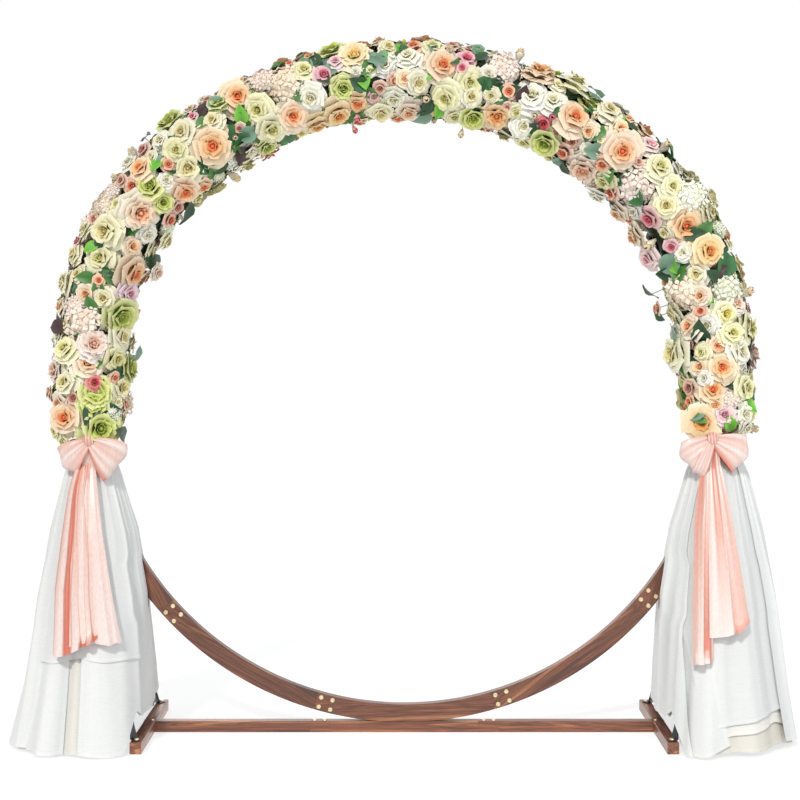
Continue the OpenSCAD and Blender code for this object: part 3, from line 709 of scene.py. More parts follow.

# %% [markdown]
# ## The garland's plan
#
# The front of the garland is arranged head by head, as a florist would: each row
# gives a kind, its angle from the top of the ring in degrees, how far it lies outside (+) or
# inside (-) the ring's middle line in millimetres, and its radius in millimetres.

# %% Arranged heads
ARRANGED = [
    ("cream_green", -96.8, 78, 23), ("lime", -95.1, -47, 64), ("cream_green", -94.9, 96, 40),
    ("peach", -92.9, 59, 54), ("hydrangea_white", -92.4, -101, 27), ("lime", -90.6, -34, 53),
    ("peach_pale", -90.3, 81, 40), ("peach", -88.8, 125, 27), ("lime", -88.5, -41, 53),
    ("cream", -86.9, 59, 40), ("red", -86.6, -37, 27), ("coral_bud", -85.4, -99, 20),
    ("blush", -85.1, 104, 40), ("peach_pale", -83.4, -7, 50), ("cream_green", -81.6, -91, 47),
    ("cream_green", -81.3, 71, 43), ("blush", -79.6, -21, 50), ("cream", -77.4, -95, 47),
    ("hydrangea_blush", -76.3, 5, 70), ("hydrangea_blush", -73.8, 82, 47), ("lime", -73.2, -76, 57),
    ("cream", -71.0, -13, 40), ("cream", -70.8, 133, 40), ("pink_pale", -68.8, -77, 43),
    ("coral_bud", -68.4, 17, 20), ("cream", -66.0, 136, 34), ("cream_green", -64.8, 42, 53),
    ("peach", -64.7, -63, 57), ("blush", -62.7, -133, 27), ("peach_pale", -60.4, -28, 37),
    ("cream", -60.1, 64, 57), ("white", -57.0, -50, 33), ("hydrangea_blush", -56.8, 129, 44),
    ("cream", -56.3, -105, 33), ("blush_peach", -54.5, 7, 63), ("hydrangea_blush", -54.2, 137, 34),
    ("hydrangea_white", -54.2, -91, 27), ("coral", -52.4, -77, 27), ("dusty", -52.0, 119, 23),
    ("lime", -50.5, -32, 33), ("bud_cream", -50.4, -91, 13), ("lime", -49.8, 31, 46),
    ("white", -49.2, 146, 34), ("white", -47.2, 3, 30), ("dusty", -46.1, 134, 30),
    ("peach", -46.1, -54, 53), ("white", -43.1, 114, 33), ("cream", -42.8, -15, 56),
    ("cream_green", -42.2, 50, 40), ("lime", -40.1, 148, 47), ("hydrangea_white", -39.7, -101, 23),
    ("cream", -39.5, 81, 50), ("peach", -36.9, -15, 63), ("blush", -36.3, 136, 30),
    ("cream", -34.3, 51, 36), ("white", -33.8, 138, 27), ("dusty", -33.2, 125, 23),
    ("bud_cream", -32.6, -31, 17), ("bud_cream", -30.1, -78, 13), ("peach", -28.8, 77, 56),
    ("lime", -28.4, -103, 33), ("cream_green", -26.5, 7, 50), ("cream_green", -25.9, -62, 53),
    ("hydrangea_blush", -24.0, 102, 53), ("peach", -21.3, -56, 50),
    ("hydrangea_blush", -20.5, 41, 70), ("apricot", -17.4, -99, 47), ("white", -17.1, -22, 46),
    ("cream_green", -16.9, 71, 40), ("pink", -13.9, 40, 33), ("apricot", -13.1, -87, 53),
    ("pink_pale", -11.4, 74, 30), ("lime_bud", -11.1, -15, 40), ("pink_bud", -10.5, -137, 17),
    ("pink_bud", -9.3, -104, 20), ("peony_cream", -8.2, 81, 58), ("cream", -4.7, -101, 43),
    ("dusty", -4.4, -32, 23), ("white", -3.2, 43, 36), ("cream", -2.6, 102, 30),
    ("coral", -1.6, -10, 26), ("yellow_bud", -0.0, 113, 13), ("peach_pale", 0.1, -7, 30),
    ("white", 0.6, 68, 40), ("peach_pale", 0.9, -101, 43), ("cream", 2.4, -18, 40),
    ("cream_green", 4.6, 106, 40), ("peach", 6.4, 44, 53), ("dusty", 7.7, 121, 23),
    ("cream_green", 7.8, -54, 50), ("pink", 9.9, 46, 23), ("cream_green", 9.9, -102, 37),
    ("pink", 10.3, 79, 33), ("cream_green", 11.6, 3, 46), ("bud_cream", 12.1, -144, 17),
    ("cream", 12.3, -36, 40), ("lime", 13.6, -95, 43), ("cream", 15.9, -20, 26),
    ("hydrangea_blush", 16.5, 94, 63), ("apricot_peony", 17.9, -68, 53), ("coral_bud", 18.7, 9, 26),
    ("dusty", 19.3, -39, 17), ("apricot_peony", 22.6, 110, 53), ("white", 22.7, 21, 53),
    ("white", 23.4, -72, 40), ("red", 26.7, -41, 30), ("pink_bud", 27.3, -8, 20),
    ("cream_green", 28.3, 124, 64), ("lime", 28.5, -88, 47), ("peach", 30.9, 19, 56),
    ("coral", 32.6, -83, 33), ("peach_pale", 34.3, 9, 33), ("cream", 35.3, 107, 47),
    ("blush_peach", 37.6, -86, 57), ("peach_pale", 38.5, 76, 43), ("peach", 41.0, 24, 60),
    ("cream_green", 42.3, -77, 37), ("white", 43.3, -120, 37), ("pink_pale", 43.8, 107, 37),
    ("cream_green", 47.5, 74, 47), ("hydrangea_blush", 47.5, -15, 73),
    ("peach_pale", 48.8, -112, 37), ("cream_green", 51.2, 66, 40), ("coral", 51.2, -93, 23),
    ("pink", 53.4, -49, 40), ("hydrangea_white", 54.6, 102, 60), ("peach_pale", 54.6, -114, 44),
    ("bud_cream", 57.4, -78, 27), ("peach", 57.9, 32, 63), ("pink_pale", 59.9, -116, 40),
    ("hydrangea_white", 61.5, 134, 30), ("white", 61.9, -20, 30), ("apricot", 63.7, 51, 60),
    ("cream", 66.5, -9, 40), ("hydrangea_blush", 69.3, -80, 67), ("coral_bud", 70.1, -160, 24),
    ("peach_pale", 70.4, -26, 33), ("hydrangea_white", 71.0, 64, 53), ("cream", 72.4, -109, 44),
    ("coral", 73.1, -40, 23), ("blush", 73.8, 80, 33), ("yellow", 74.7, 35, 47),
    ("white", 76.0, -119, 34), ("cream_green", 78.3, 41, 43), ("cream", 80.2, -135, 64),
    ("white", 81.6, 55, 47), ("peach_pale", 83.4, -77, 33), ("peach", 83.9, -8, 47),
    ("white", 85.6, -68, 27), ("dusty", 87.4, -110, 30), ("cream_green", 87.8, 67, 43),
    ("peach", 88.0, -42, 47), ("coral_bud", 90.1, -112, 20), ("peach_pale", 90.6, -32, 40),
    ("white", 92.2, 69, 33), ("pink_pale", 92.3, -5, 40), ("apricot_open", 94.1, -76, 57),
    ("white", 94.4, 78, 27),
]
# Leaves: kind, angle, distance from the middle line and half length
ARRANGED_LEAVES = [
    ("dark", -97.0, -116, 41), ("dark", -91.9, -30, 40), ("dark", -91.8, -74, 37),
    ("bright", -85.8, 4, 27), ("dark", -84.3, -103, 27), ("grey", -80.6, -153, 27),
    ("burgundy", -77.9, 113, 37), ("green", -73.1, 14, 30), ("green", -70.0, 9, 30),
    ("green", -68.6, 57, 30), ("green", -67.2, -15, 30), ("dark", -66.6, 14, 27),
    ("bright", -63.5, 85, 27), ("dark", -61.0, -100, 40), ("dark", -48.7, -102, 43),
    ("bright", -45.9, 67, 33), ("dark", -44.6, 169, 30), ("dark", -38.6, -73, 37),
    ("burgundy", -34.7, 103, 33), ("burgundy", -33.7, -86, 27), ("grey", -30.7, -46, 30),
    ("bright", -29.8, 11, 33), ("ivy", -23.7, -107, 30), ("green", -20.1, 125, 30),
    ("dark", -14.6, 96, 30), ("dark", -7.6, -18, 36), ("grey", -4.7, 71, 36),
    ("grey", 4.2, -113, 43), ("dark", 4.6, -89, 30), ("grey", 11.5, 136, 37),
    ("dark", 13.0, 102, 30), ("dark", 13.1, -110, 30), ("dark", 15.8, 14, 30),
    ("burgundy", 21.3, 5, 33), ("dark", 25.1, -72, 30), ("ivy", 32.1, 149, 37),
    ("dark", 34.1, -117, 30), ("green", 35.9, 31, 30), ("bright", 37.5, 109, 27),
    ("grey", 37.6, -26, 30), ("dark", 40.4, 114, 27), ("green", 41.7, -52, 30),
    ("dark", 47.0, -111, 33), ("green", 47.3, 148, 40), ("green", 60.5, 64, 37),
    ("grey", 62.7, -66, 37), ("dark", 64.2, 105, 27), ("dark", 64.5, -85, 37),
    ("green", 64.5, -55, 40), ("dark", 66.8, -160, 37), ("ivy", 67.5, 86, 40),
    ("dark", 68.2, 43, 30), ("dark", 71.7, -162, 30), ("grey", 75.5, -136, 30),
    ("dark", 77.6, -57, 47), ("bright", 90.5, 74, 33), ("grey", 91.6, -87, 34),
    ("green", 93.0, -68, 30), ("bright", 94.3, 19, 33),
]
print("arranged heads:", len(ARRANGED), "leaves:", len(ARRANGED_LEAVES))

# %% [markdown]
# The CAD model's garland is a bumpy tube round the ring. The same few values give the tube's
# middle and thickness here, so the flowers fill exactly the space that the solid holds.

# %% The garland's tube
# How far it reaches down each side from the top, in degrees, and its number of sections
GARLAND_ANGLE, GARLAND_COUNT = 95.5, 8
HALF_W, HALF_D = 0.126, 0.116
SECTION_ANGLE = 2 * GARLAND_ANGLE / GARLAND_COUNT


def garland_shift(a):
    """How far the tube's middle lies outside the ring's, at an angle from the top."""
    a = abs(a)
    return 0.010 + 0.026 * math.exp(-((a - 58) / 16) ** 2) \
        - 0.022 * math.exp(-((a - 88) / 12) ** 2)


def garland_end(a):
    """The tube's thickness as a share: it tapers over the last five degrees."""
    return min(1.0, 0.62 + 0.38 * math.sqrt(max(0.0, GARLAND_ANGLE - abs(a)) / 5))


def outwards(a):
    """From the ring's centre towards an angle that is measured from the top."""
    return Vector((math.sin(math.radians(a)), 0, math.cos(math.radians(a))))


def tube_middle(a):
    """The middle of the tube at an angle, away from its ends."""
    return Vector((0, 0, RING_Z)) + outwards(a) * (RING_MID_R + garland_shift(a))


def garland_spot(a, turn, sunk):
    """A point under the garland's skin, and the way out of it. turn 0 is the ring's outer side."""
    c, s = math.cos(turn), math.sin(turn)
    reach = garland_end(a) * (HALF_W * c * c + HALF_D * s * s) - sunk
    middle = Vector((0, 0, RING_Z)) + outwards(a) * (
        RING_MID_R + garland_shift(a) * garland_end(a))
    way = outwards(a) * c + Vector((0, s, 0))
    return middle + way * reach, way


def arranged_spot(a, across, sunk):
    """The same for a head that is seen from the front at a distance from the middle line."""
    share = max(-1.0, min(1.0, (across - garland_shift(a)) / HALF_W))
    depth = math.sqrt(max(0.03, 1 - share * share))
    place = Vector((0, 0, RING_Z)) + outwards(a) * (RING_MID_R + across)
    place.y = -(HALF_D - sunk) * depth
    return place, (outwards(a) * share * 0.9 + Vector((0, -max(0.25, depth), 0))).normalized()


# %% [markdown]
# The arranged heads go in first. A florist then fills the gaps, large heads before small ones,
# and so does the loop: it tries a chance spot on the tube and keeps it where no head is near.
# Every head is drawn a little larger than its place, because real ones press on each other.

# %% Place the heads
ARRANGED_SWELL, FILLER_SWELL = 1.13, 1.08
luck = random.Random(2163)
planted = []
for kind, a, across, size in ARRANGED:
    size /= 1000
    place, way = arranged_spot(a, across / 1000, luck.uniform(0.0, 0.5) * size)
    way = (way + Vector([luck.uniform(-0.3, 0.3) for _ in range(3)])).normalized()
    planted.append((kind, a, place, way, size * ARRANGED_SWELL))

FILLERS = ["cream"] * 5 + ["cream_green"] * 4 + ["white"] * 4 + ["peach"] * 3 \
    + ["peach_pale"] * 3 + ["blush"] * 2 + ["hydrangea_blush"] * 2 + ["apricot"] \
    + ["lime"] * 2 + ["pink_pale"] + ["yellow"] + ["hydrangea_white"]
SMALL_FILLERS = ["coral", "pink", "dusty", "white", "cream", "bud_cream", "coral_bud",
                 "cream_green", "white", "cream", "bud_cream"]
leaf_spots = [arranged_spot(a, across / 1000, 0.0)[0] for _, a, across, _ in ARRANGED_LEAVES]


def crowded(place, size, close):
    """Too near another head, or over one of the arranged leaves."""
    return any((place - other).length < (size + reach) * close
               for _, _, other, _, reach in planted) \
        or any((place - spot).length < size * 0.8 + 0.010 for spot in leaf_spots)


# Each round: the radius, how many spots are tried, and how closely the heads may stand
ROUNDS = ((0.056, 900, 0.66), (0.047, 1500, 0.66), (0.038, 2200, 0.66), (0.029, 2600, 0.68),
          (0.020, 1500, 0.74))
for size, tries, close in ROUNDS:
    for _ in range(tries):
        a = luck.uniform(-GARLAND_ANGLE + 1, GARLAND_ANGLE - 1)
        turn = luck.uniform(0, 2 * math.pi)
        this = size * luck.uniform(0.9, 1.1)
        place, way = garland_spot(a, turn, luck.uniform(0.10, 0.60) * this)
        if crowded(place, this, close):
            continue
        kind = luck.choice(FILLERS if size > 0.03 else SMALL_FILLERS)
        way = (way + Vector([luck.uniform(-0.28, 0.28) for _ in range(3)])).normalized()
        planted.append((kind, a, place, way, this * FILLER_SWELL))
print("heads in all:", len(planted))

# %% [markdown]
# The two lower ends of the garland would show its core from below, so a few heads hang there,
# facing down. Leaves are tucked between the heads, rooted under the skin and leaning out.

# %% Ends and leaves
# Round each end: where, which kind, and its radius
END_HEADS = ((0.3, "white", 0.042), (1.5, "cream", 0.040), (2.7, "blush", 0.040),
             (3.9, "cream_green", 0.038), (5.1, "peach_pale", 0.036))
for side in (-1, 1):
    for turn, kind, size in END_HEADS:
        a = side * (GARLAND_ANGLE - 0.6)
        place, way = garland_spot(a, turn, 0.045)
        down = Vector((0, 0, -1.0)) + way * 0.7
        planted.append((kind, a, place, down.normalized(), size))

LOOSE_LEAVES, LEAFY_ANGLE = 640, 45
tucked = []
for kind, a, across, size in ARRANGED_LEAVES:
    place, way = arranged_spot(a, across / 1000, 0.006)
    tucked.append((kind, a, place, way, size / 1000 * 2.2))
for number in range(LOOSE_LEAVES):
    # Every second one goes within 45 degrees of the top, which is the leafiest
    reach = LEAFY_ANGLE if number % 2 == 0 else GARLAND_ANGLE - 2
    a = luck.uniform(-reach, reach)
    place, way = garland_spot(a, luck.uniform(0, 2 * math.pi), luck.uniform(0.004, 0.030))
    kind = luck.choice(["dark", "dark", "green", "green", "grey", "bright", "ivy", "ivy",
                        "burgundy"])
    tucked.append((kind, a, place, way, luck.uniform(0.045, 0.075)))
print("leaves in all:", len(tucked))


# %% [markdown]
# A made garland has a core of moss, and every head is wired into it. The core is an oval swept
# round the ring with spin, and shows only as dark green between the heads. What stands well off
# the tube's middle gets a wire stem, a thin cone from inside the core to the head or leaf.

# %% Core and stems
# The core's half width and depth, and how far it ends before the garland does, in degrees
CORE_W, CORE_D, CORE_END = 0.086, 0.078, 1.5
STEM_ROOT_R, STEM_TIP_R = 0.0016, 0.0011


def section_of(a):
    """The number, from 0, of the garland section at an angle."""
    return max(0, min(GARLAND_COUNT - 1, int((a + GARLAND_ANGLE) / SECTION_ANGLE)))


def section_core(bm, dye_and_painted_light, i):
    """The mossy core of one section: an oval swept round the ring and closed at both ends."""
    low = -GARLAND_ANGLE + i * SECTION_ANGLE + (CORE_END if i == 0 else 0)
    high = -GARLAND_ANGLE + (i + 1) * SECTION_ANGLE - (CORE_END if i == GARLAND_COUNT - 1 else 0)
    oval = bmesh.ops.create_circle(bm, cap_ends=False, segments=14, radius=1.0)["verts"]
    for vert in oval:
        out, y = vert.co.x * CORE_W, vert.co.y * CORE_D
        vert.co = Vector((0, y, RING_Z)) + outwards(low) * (RING_MID_R + 0.015 + out)
    edges = [e for e in bm.edges if e.verts[0] in oval and e.verts[1] in oval]
    bmesh.ops.edgeloop_fill(bm, edges=edges)
    swept = bmesh.ops.spin(bm, geom=oval + edges, cent=(0, 0, RING_Z), axis=(0, 1, 0),
                           angle=math.radians(high - low), steps=9, use_duplicate=False)
    last = [e for e in swept["geom_last"] if isinstance(e, bmesh.types.BMEdge)]
    bmesh.ops.edgeloop_fill(bm, edges=last)
    moss = linear("#24371a")
    for vert in bm.verts:
        vert[dye_and_painted_light] = moss
    bmesh.ops.recalc_face_normals(bm, faces=bm.faces)


def stem(place, a):
    """A wire stem from the garland's core to a head or leaf that stands off it."""
    root = tube_middle(a)
    root += (place - root) * 0.4
    bm = bmesh.new()
    dye_and_painted_light = bm.verts.layers.float_color.new("dye_and_painted_light")
    length = (place - root).length
    bmesh.ops.create_cone(bm, cap_ends=True, segments=6, radius1=STEM_ROOT_R,
                          radius2=STEM_TIP_R, depth=length)
    for vert in bm.verts:
        vert.co.z += length / 2
        vert[dye_and_painted_light] = linear("#4f6a30")
    mesh = bpy.data.meshes.new("stem")
    bm.to_mesh(mesh)
    bm.free()
    return mesh, facing(place - root, root)


# %% [markdown]
# Silk is dyed by hand, so no two heads match. Each copy of a head is tinted a little before it
# is joined to its section, and each leaf is laid flat on the skin and leant out by chance.

# %% Copies of heads and leaves
def leaf_matrix(place, way, length, luck):
    """Lay a leaf on the skin, leaning out a little, in any direction round the way out."""
    side = way.orthogonal().normalized()
    side.rotate(Matrix.Rotation(luck.uniform(0, FULL_TURN), 3, way))
    along = (side + way * luck.uniform(0.2, 1.0)).normalized()
    face = (way - along * way.dot(along)).normalized()
    across = along.cross(face)
    # The leaf's own X, Y and Z are the columns of its matrix
    turned = Matrix((across, along, face)).transposed().to_4x4()
    return Matrix.Translation(place - along * length * 0.4) @ turned @ Matrix.Scale(length, 4)


def tinted(mesh, luck):
    """A copy with its dye a little lighter or darker and warmer or cooler."""
    copy = mesh.copy()
    data = copy.attributes["dye_and_painted_light"].data
    values = np.empty(len(data) * 4, np.float32)
    data.foreach_get("color", values)
    values = values.reshape(-1, 4)
    values[:, :3] *= luck.uniform(0.94, 1.08)
    values[:, 2] *= luck.uniform(0.88, 1.01)
    data.foreach_set("color", np.clip(values, 0, 1).ravel())
    return copy


def smooth(mesh):
    """Shade a mesh smooth."""
    mesh.polygons.foreach_set("use_smooth", [True] * len(mesh.polygons))


STANDS_OFF = 0.105
standing_off = [(a, place) for _, a, place, _, _ in planted + tucked
                if (place - tube_middle(a)).length > STANDS_OFF]
print("on wire stems:", len(standing_off))

# %% [markdown]
# The CAD model has eight garland sections. Each is replaced by one piece of heads, and one piece
# of greenery with the core, the leaves and the stems is added to it.

# %% Build the sections
for i in range(GARLAND_COUNT):
    node = f"garland_section_{i + 1:02d}"
    here = [(tinted(luck.choice(heads[kind]), luck), facing(way, place - way * size * 0.35,
                                                            luck.uniform(0, FULL_TURN), size))
            for kind, a, place, way, size in planted if section_of(a) == i]
    mesh = join_copies(f"blooms_{i + 1:02d}", here)
    smooth(mesh)
    blooms = new_piece(mesh, f"blooms_{i + 1:02d}", "flowers", petal_silk)
    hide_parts(node)
    bm = bmesh.new()
    dye_and_painted_light = bm.verts.layers.float_color.new("dye_and_painted_light")
    section_core(bm, dye_and_painted_light, i)
    core = bpy.data.meshes.new("core")
    bm.to_mesh(core)
    bm.free()
    green = [(core, Matrix.Identity(4))]
    green += [(leaves[kind], leaf_matrix(place, way, size, luck))
              for kind, a, place, way, size in tucked if section_of(a) == i]
    green += [stem(place, a) for a, place in standing_off if section_of(a) == i]
    mesh = join_copies(f"greenery_{i + 1:02d}", green)
    smooth(mesh)
    new_piece(mesh, f"greenery_{i + 1:02d}", "leaves", leaf_silk)
    print(node, "heads:", len(here), "faces:", len(blooms.data.polygons))
    for copy, _ in here:
        bpy.data.meshes.remove(copy)

# %% [markdown]
# ## The tents of voile
#
# Each side of the arch wears a tent: gores of white voile are gathered at the neck, hung over
# the ring and spread over the foot. The CAD drape is the tent's mean surface. Its plan is
# repeated here, and every layer of cloth is placed by how far round the tent a point lies
# (0 at the slit for the ring, 1 on the outside) and how high.

# %% The tent's plan
NECK_X, NECK_R, NECK_Z = 1.0583, 0.072, 0.950
HEM_OUT, HEM_IN = 1.308, 0.856
# Half the opening for the ring, and the height at which the ring passes through it
SLIT, SLIT_Z = 0.0225, 0.515
# At shares of the neck's height: how far each edge has drawn in from the hem, and half the depth
LEVELS = (0, 0.21, 0.516, 0.737, 0.937, 1)
INNER_SHARE = (0, 0.015, 0.1, 0.354, 0.815, 1)
OUTER_SHARE = (0, 0.169, 0.338, 0.563, 0.842, 1)
HALF_DEPTH = (0.352, 0.3087, 0.2252, 0.165, 0.096, 0.072)


def plan(z):
    """Middle, half width, half depth and how far the cloth has fallen, at a height."""
    level = min(1.0, max(0.0, z / NECK_Z))
    inner = HEM_IN + (NECK_X - NECK_R - HEM_IN) * np.interp(level, LEVELS, INNER_SHARE)
    outer = HEM_OUT + (NECK_X + NECK_R - HEM_OUT) * np.interp(level, LEVELS, OUTER_SHARE)
    return (inner + outer) / 2, (outer - inner) / 2, np.interp(level, LEVELS, HALF_DEPTH), \
        1 - level


def slit(z):
    """The tent opens round the ring where it passes through, and is sewn shut elsewhere."""
    passing = math.exp(-(abs(z - SLIT_Z) / 0.100) ** 10)
    return 0.001 + (SLIT - 0.001) * min(1.0, 1.1 * passing)


def outline(z, count=101):
    """Half of the tent's outline at a height, evenly spaced from the slit to the outside. It is
    a circle at the neck and grows squarer on the inner side as it falls."""
    mid, half_x, half_y, fall = plan(z)
    turn = np.linspace(0.0, math.pi, 900)
    c = np.cos(turn)
    x = mid - half_x * np.where(c > 0, np.abs(c) ** (1 - 0.78 * fall), c)
    y = half_y * np.abs(np.sin(turn)) ** (1 - 0.2 * fall)
    keep = (y >= slit(z)) | (turn > math.pi / 2)
    x, y = x[keep], y[keep]
    along = np.concatenate(([0], np.cumsum(np.hypot(np.diff(x), np.diff(y)))))
    even = np.linspace(0, along[-1], count)
    return np.stack((np.interp(even, along, x), np.interp(even, along, y)), axis=1)


# Tables of the outline and of the way out of it, by height and by how far round
TENT_TOP = 1.0
TENT = np.stack([outline(z) for z in np.linspace(0, TENT_TOP, 61)])
TANGENT = np.gradient(TENT, axis=1)
OUTWARD = np.stack((-TANGENT[..., 1], TANGENT[..., 0]), axis=2)
OUTWARD /= np.linalg.norm(OUTWARD, axis=2, keepdims=True)


def sample(grid, f, z):
    """Bilinear reading of one of the tent's tables."""
    a = min(max(f, 0.0), 1.0) * (grid.shape[1] - 1)
    b = min(max(z / TENT_TOP, 0.0), 1.0) * (grid.shape[0] - 1)
    i, j = min(int(a), grid.shape[1] - 2), min(int(b), grid.shape[0] - 2)
    a, b = a - i, b - j
    low = grid[j, i] * (1 - a) + grid[j, i + 1] * a
    high = grid[j + 1, i] * (1 - a) + grid[j + 1, i + 1] * a
    return low * (1 - b) + high * b


def tent_point(side, end, f, z, out):
    """A point of the tent. side is -1 for the left one, end is -1 for its front half."""
    x, y = sample(TENT, f, z) + sample(OUTWARD, f, z) * out
    return Vector((side * x, end * y, z))


print("round the hem:", round(float(np.hypot(*np.diff(TENT[0], axis=0).T).sum()), 3), "m")

# %% [markdown]
# ## Voile and satin as materials
#
# Voile is a plain weave of fine polyester with a slub here and there. Where layers lie over
# each other it looks warmer, and the valleys of its folds lie in shade; both are painted into
# the colour of the points as painted shade, warmer or darker than the crests. Its threads are
# drawn 1.5 mm wide, several times coarser than real ones, so that they show. A sewn hem is a
# doubled strip 14 mm wide with a line of stitches, drawn from each point's distance to the cut
# edge.

# %% Voile
HEM_DRAWN = 0.03
voile_cloth, tree, shader = new_material("white polyester voile with sewn hems")
# The points' colour: the voile's dye with its painted shade
dye_and_shade = add(tree, "ShaderNodeAttribute", attribute_name="dye_and_painted_light")
edge = add(tree, "ShaderNodeAttribute", attribute_name="border")
place = add(tree, "ShaderNodeTexCoord").outputs["Object"]
threads = add(tree, "ShaderNodeMapping", {"Vector": place, "Scale": (620, 620, 34)})
slub = add(tree, "ShaderNodeTexNoise", {"Vector": threads.outputs[0], "Scale": 1.0,
                                        "Detail": 2.0})
threads = add(tree, "ShaderNodeMapping", {"Vector": place, "Scale": (30, 30, 700)})
weft = add(tree, "ShaderNodeTexNoise", {"Vector": threads.outputs[0], "Scale": 1.0,
                                        "Detail": 2.0})
weave = add(tree, "ShaderNodeMath", {0: slub.outputs["Fac"], 1: weft.outputs["Fac"]},
            operation="ADD")
shade_of_weave = add(tree, "ShaderNodeMapRange", {
    "Value": weave.outputs[0], "From Min": 0.75, "From Max": 1.2, "To Min": 0.93, "To Max": 1.0})
# The hem: doubled cloth is a little brighter, and the stitches make a thin darker line
hem_share = add(tree, "ShaderNodeMapRange", {"Value": edge.outputs["Fac"], "From Min": 0.0,
                                             "From Max": HEM_DRAWN})
hem = add(tree, "ShaderNodeValToRGB", {"Fac": hem_share.outputs[0]}, stops=[
    (0.0, "#ffffff"), (0.40, "#ffffff"), (0.46, "#f9f9f8"), (0.52, "#fcfcfc"),
    (0.58, "#fcfcfc")])
cloth = add(tree, "ShaderNodeMix", {0: 1.0, 6: dye_and_shade.outputs["Color"], 7: hem.outputs[0]},
            data_type="RGBA", blend_type="MULTIPLY")
cloth = add(tree, "ShaderNodeVectorMath", {0: cloth.outputs[2], 1: shade_of_weave.outputs[0]},
            operation="MULTIPLY")
tree.links.new(cloth.outputs[0], shader.inputs["Base Color"])
bump = add(tree, "ShaderNodeBump", {"Height": weave.outputs[0], "Strength": 0.12,
                                    "Distance": 0.0004})
tree.links.new(bump.outputs[0], shader.inputs["Normal"])
shader.inputs["Roughness"].default_value = 0.85
shader.inputs["Sheen Weight"].default_value = 0.18
shader.inputs["Sheen Roughness"].default_value = 0.6

# %% [markdown]
# Satin is woven so that most of the warp floats on the face, which gives it a lengthwise gleam.
# The floats are drawn 4 mm wide and 6 cm long, far coarser than real, and turn into streaks of
# roughness, bump and a painted sheen that lightens the colour along them. Anisotropy spreads the
# highlight across them.

# %% Satin
satin_cloth, tree, shader = new_material("salmon polyester satin")
# The points' colour: the satin's dye with painted highlights on the crests and painted shade in the
# folds
dye_and_shade = add(tree, "ShaderNodeAttribute", attribute_name="dye_and_painted_light")
place = add(tree, "ShaderNodeTexCoord").outputs["Object"]
threads = add(tree, "ShaderNodeMapping", {"Vector": place, "Scale": (260, 260, 16)})
floats = add(tree, "ShaderNodeTexNoise", {"Vector": threads.outputs[0], "Scale": 1.0,
                                          "Detail": 3.0})
# Painted sheen: the colour is a little lighter along some floats than along others
gleam = add(tree, "ShaderNodeMapRange", {"Value": floats.outputs["Fac"], "From Min": 0.3,
                                         "From Max": 0.7, "To Min": 0.88, "To Max": 1.03})
cloth = add(tree, "ShaderNodeVectorMath", {0: dye_and_shade.outputs["Color"], 1: gleam.outputs[0]},
            operation="MULTIPLY")
tree.links.new(cloth.outputs[0], shader.inputs["Base Color"])
rough = add(tree, "ShaderNodeMapRange", {"Value": floats.outputs["Fac"], "To Min": 0.26,
                                         "To Max": 0.42})
tree.links.new(rough.outputs[0], shader.inputs["Roughness"])
bump = add(tree, "ShaderNodeBump", {"Height": floats.outputs["Fac"], "Strength": 0.15,
                                    "Distance": 0.0006})
tree.links.new(bump.outputs[0], shader.inputs["Normal"])
shader.inputs["Anisotropic"].default_value = 0.5
shader.inputs["Sheen Weight"].default_value = 0.25
shader.inputs["Sheen Roughness"].default_value = 0.35
print("cloths:", voile_cloth.name, "and", satin_cloth.name)

# %% [markdown]
# ## Laying the voile
#
# A gathered cloth has sharp fine pleats at the neck that melt into a few wide folds below.
# The folds are ripples in how far a point stands out of the tent. They are a few sines of the
# place round it, warped so that they are never even, and the big ones are set one by one.


# %% Folds
def ease(t):
    """From 0 to 1 with a soft start and end."""
    t = min(1.0, max(0.0, t))
    return t * t * (3 - 2 * t)


def ridge(x):
    """Narrow crests with wide valleys between them, as in gathered cloth."""
    return (1 - abs(math.sin(x))) ** 2


def pleats(f, s, seed):
    """Out of the tent, in metres: fine pleats by the neck, soft waves lower down. f is how far
    round the tent a point lies and s how far down it, both from 0 to 1."""
    warp = f + 0.012 * math.sin(7 * f + seed) + 0.006 * math.sin(23 * f + 2 * seed)
    fine = 0.0075 * (ridge(47 * warp + seed) - 0.3) * math.exp(-s / 0.22)
    middle = 0.0085 * (ridge(19 * warp + 1.7 * seed) - 0.3) * ease(s * 5) * (1.05 - 0.75 * s)
    slow = 0.0065 * math.sin(15 * warp + 2.3 * seed) * ease(s * 1.6)
    return fine + middle + slow


def named_folds(f, s, folds):
    """The single big folds: centre and width round the tent, height in millimetres, below zero
    for a valley, and how far down it starts."""
    out = 0.0
    for centre, width, height, start in folds:
        out += height / 1000 * math.exp(-((f - centre) / width) ** 2) * ease((s - start) * 3)
    return out


# Each dye with its painted shade: darker in the valleys, then lighter on the crests. The first is
# the voile's own white; the warm, beige and grey ones are painted shade for layers that lie under
# others or that face the sun, and the last is for the backs
VOILE_DYES_AND_SHADE = {
    "white": ("#e4e7e7", "#eff1f1"),
    "warm": ("#e9e7e0", "#f0efeb"),
    "beige_in_shade": ("#dad6cb", "#e9e6de"),
    "shade": ("#dcdfdf", "#e7e9e9"),
    "rear": ("#e2e5e4", "#eef0ef"),
}
print("voile dyes:", list(VOILE_DYES_AND_SHADE))


# %% [markdown]
# The flat size of a sheet of cloth, from which it could be cut again, is measured along the
# finished grid: its widest row, the longest of three columns and the sum of its faces. Most
# pieces are gathered at one end, so the cut is a gore with less area than width times length.

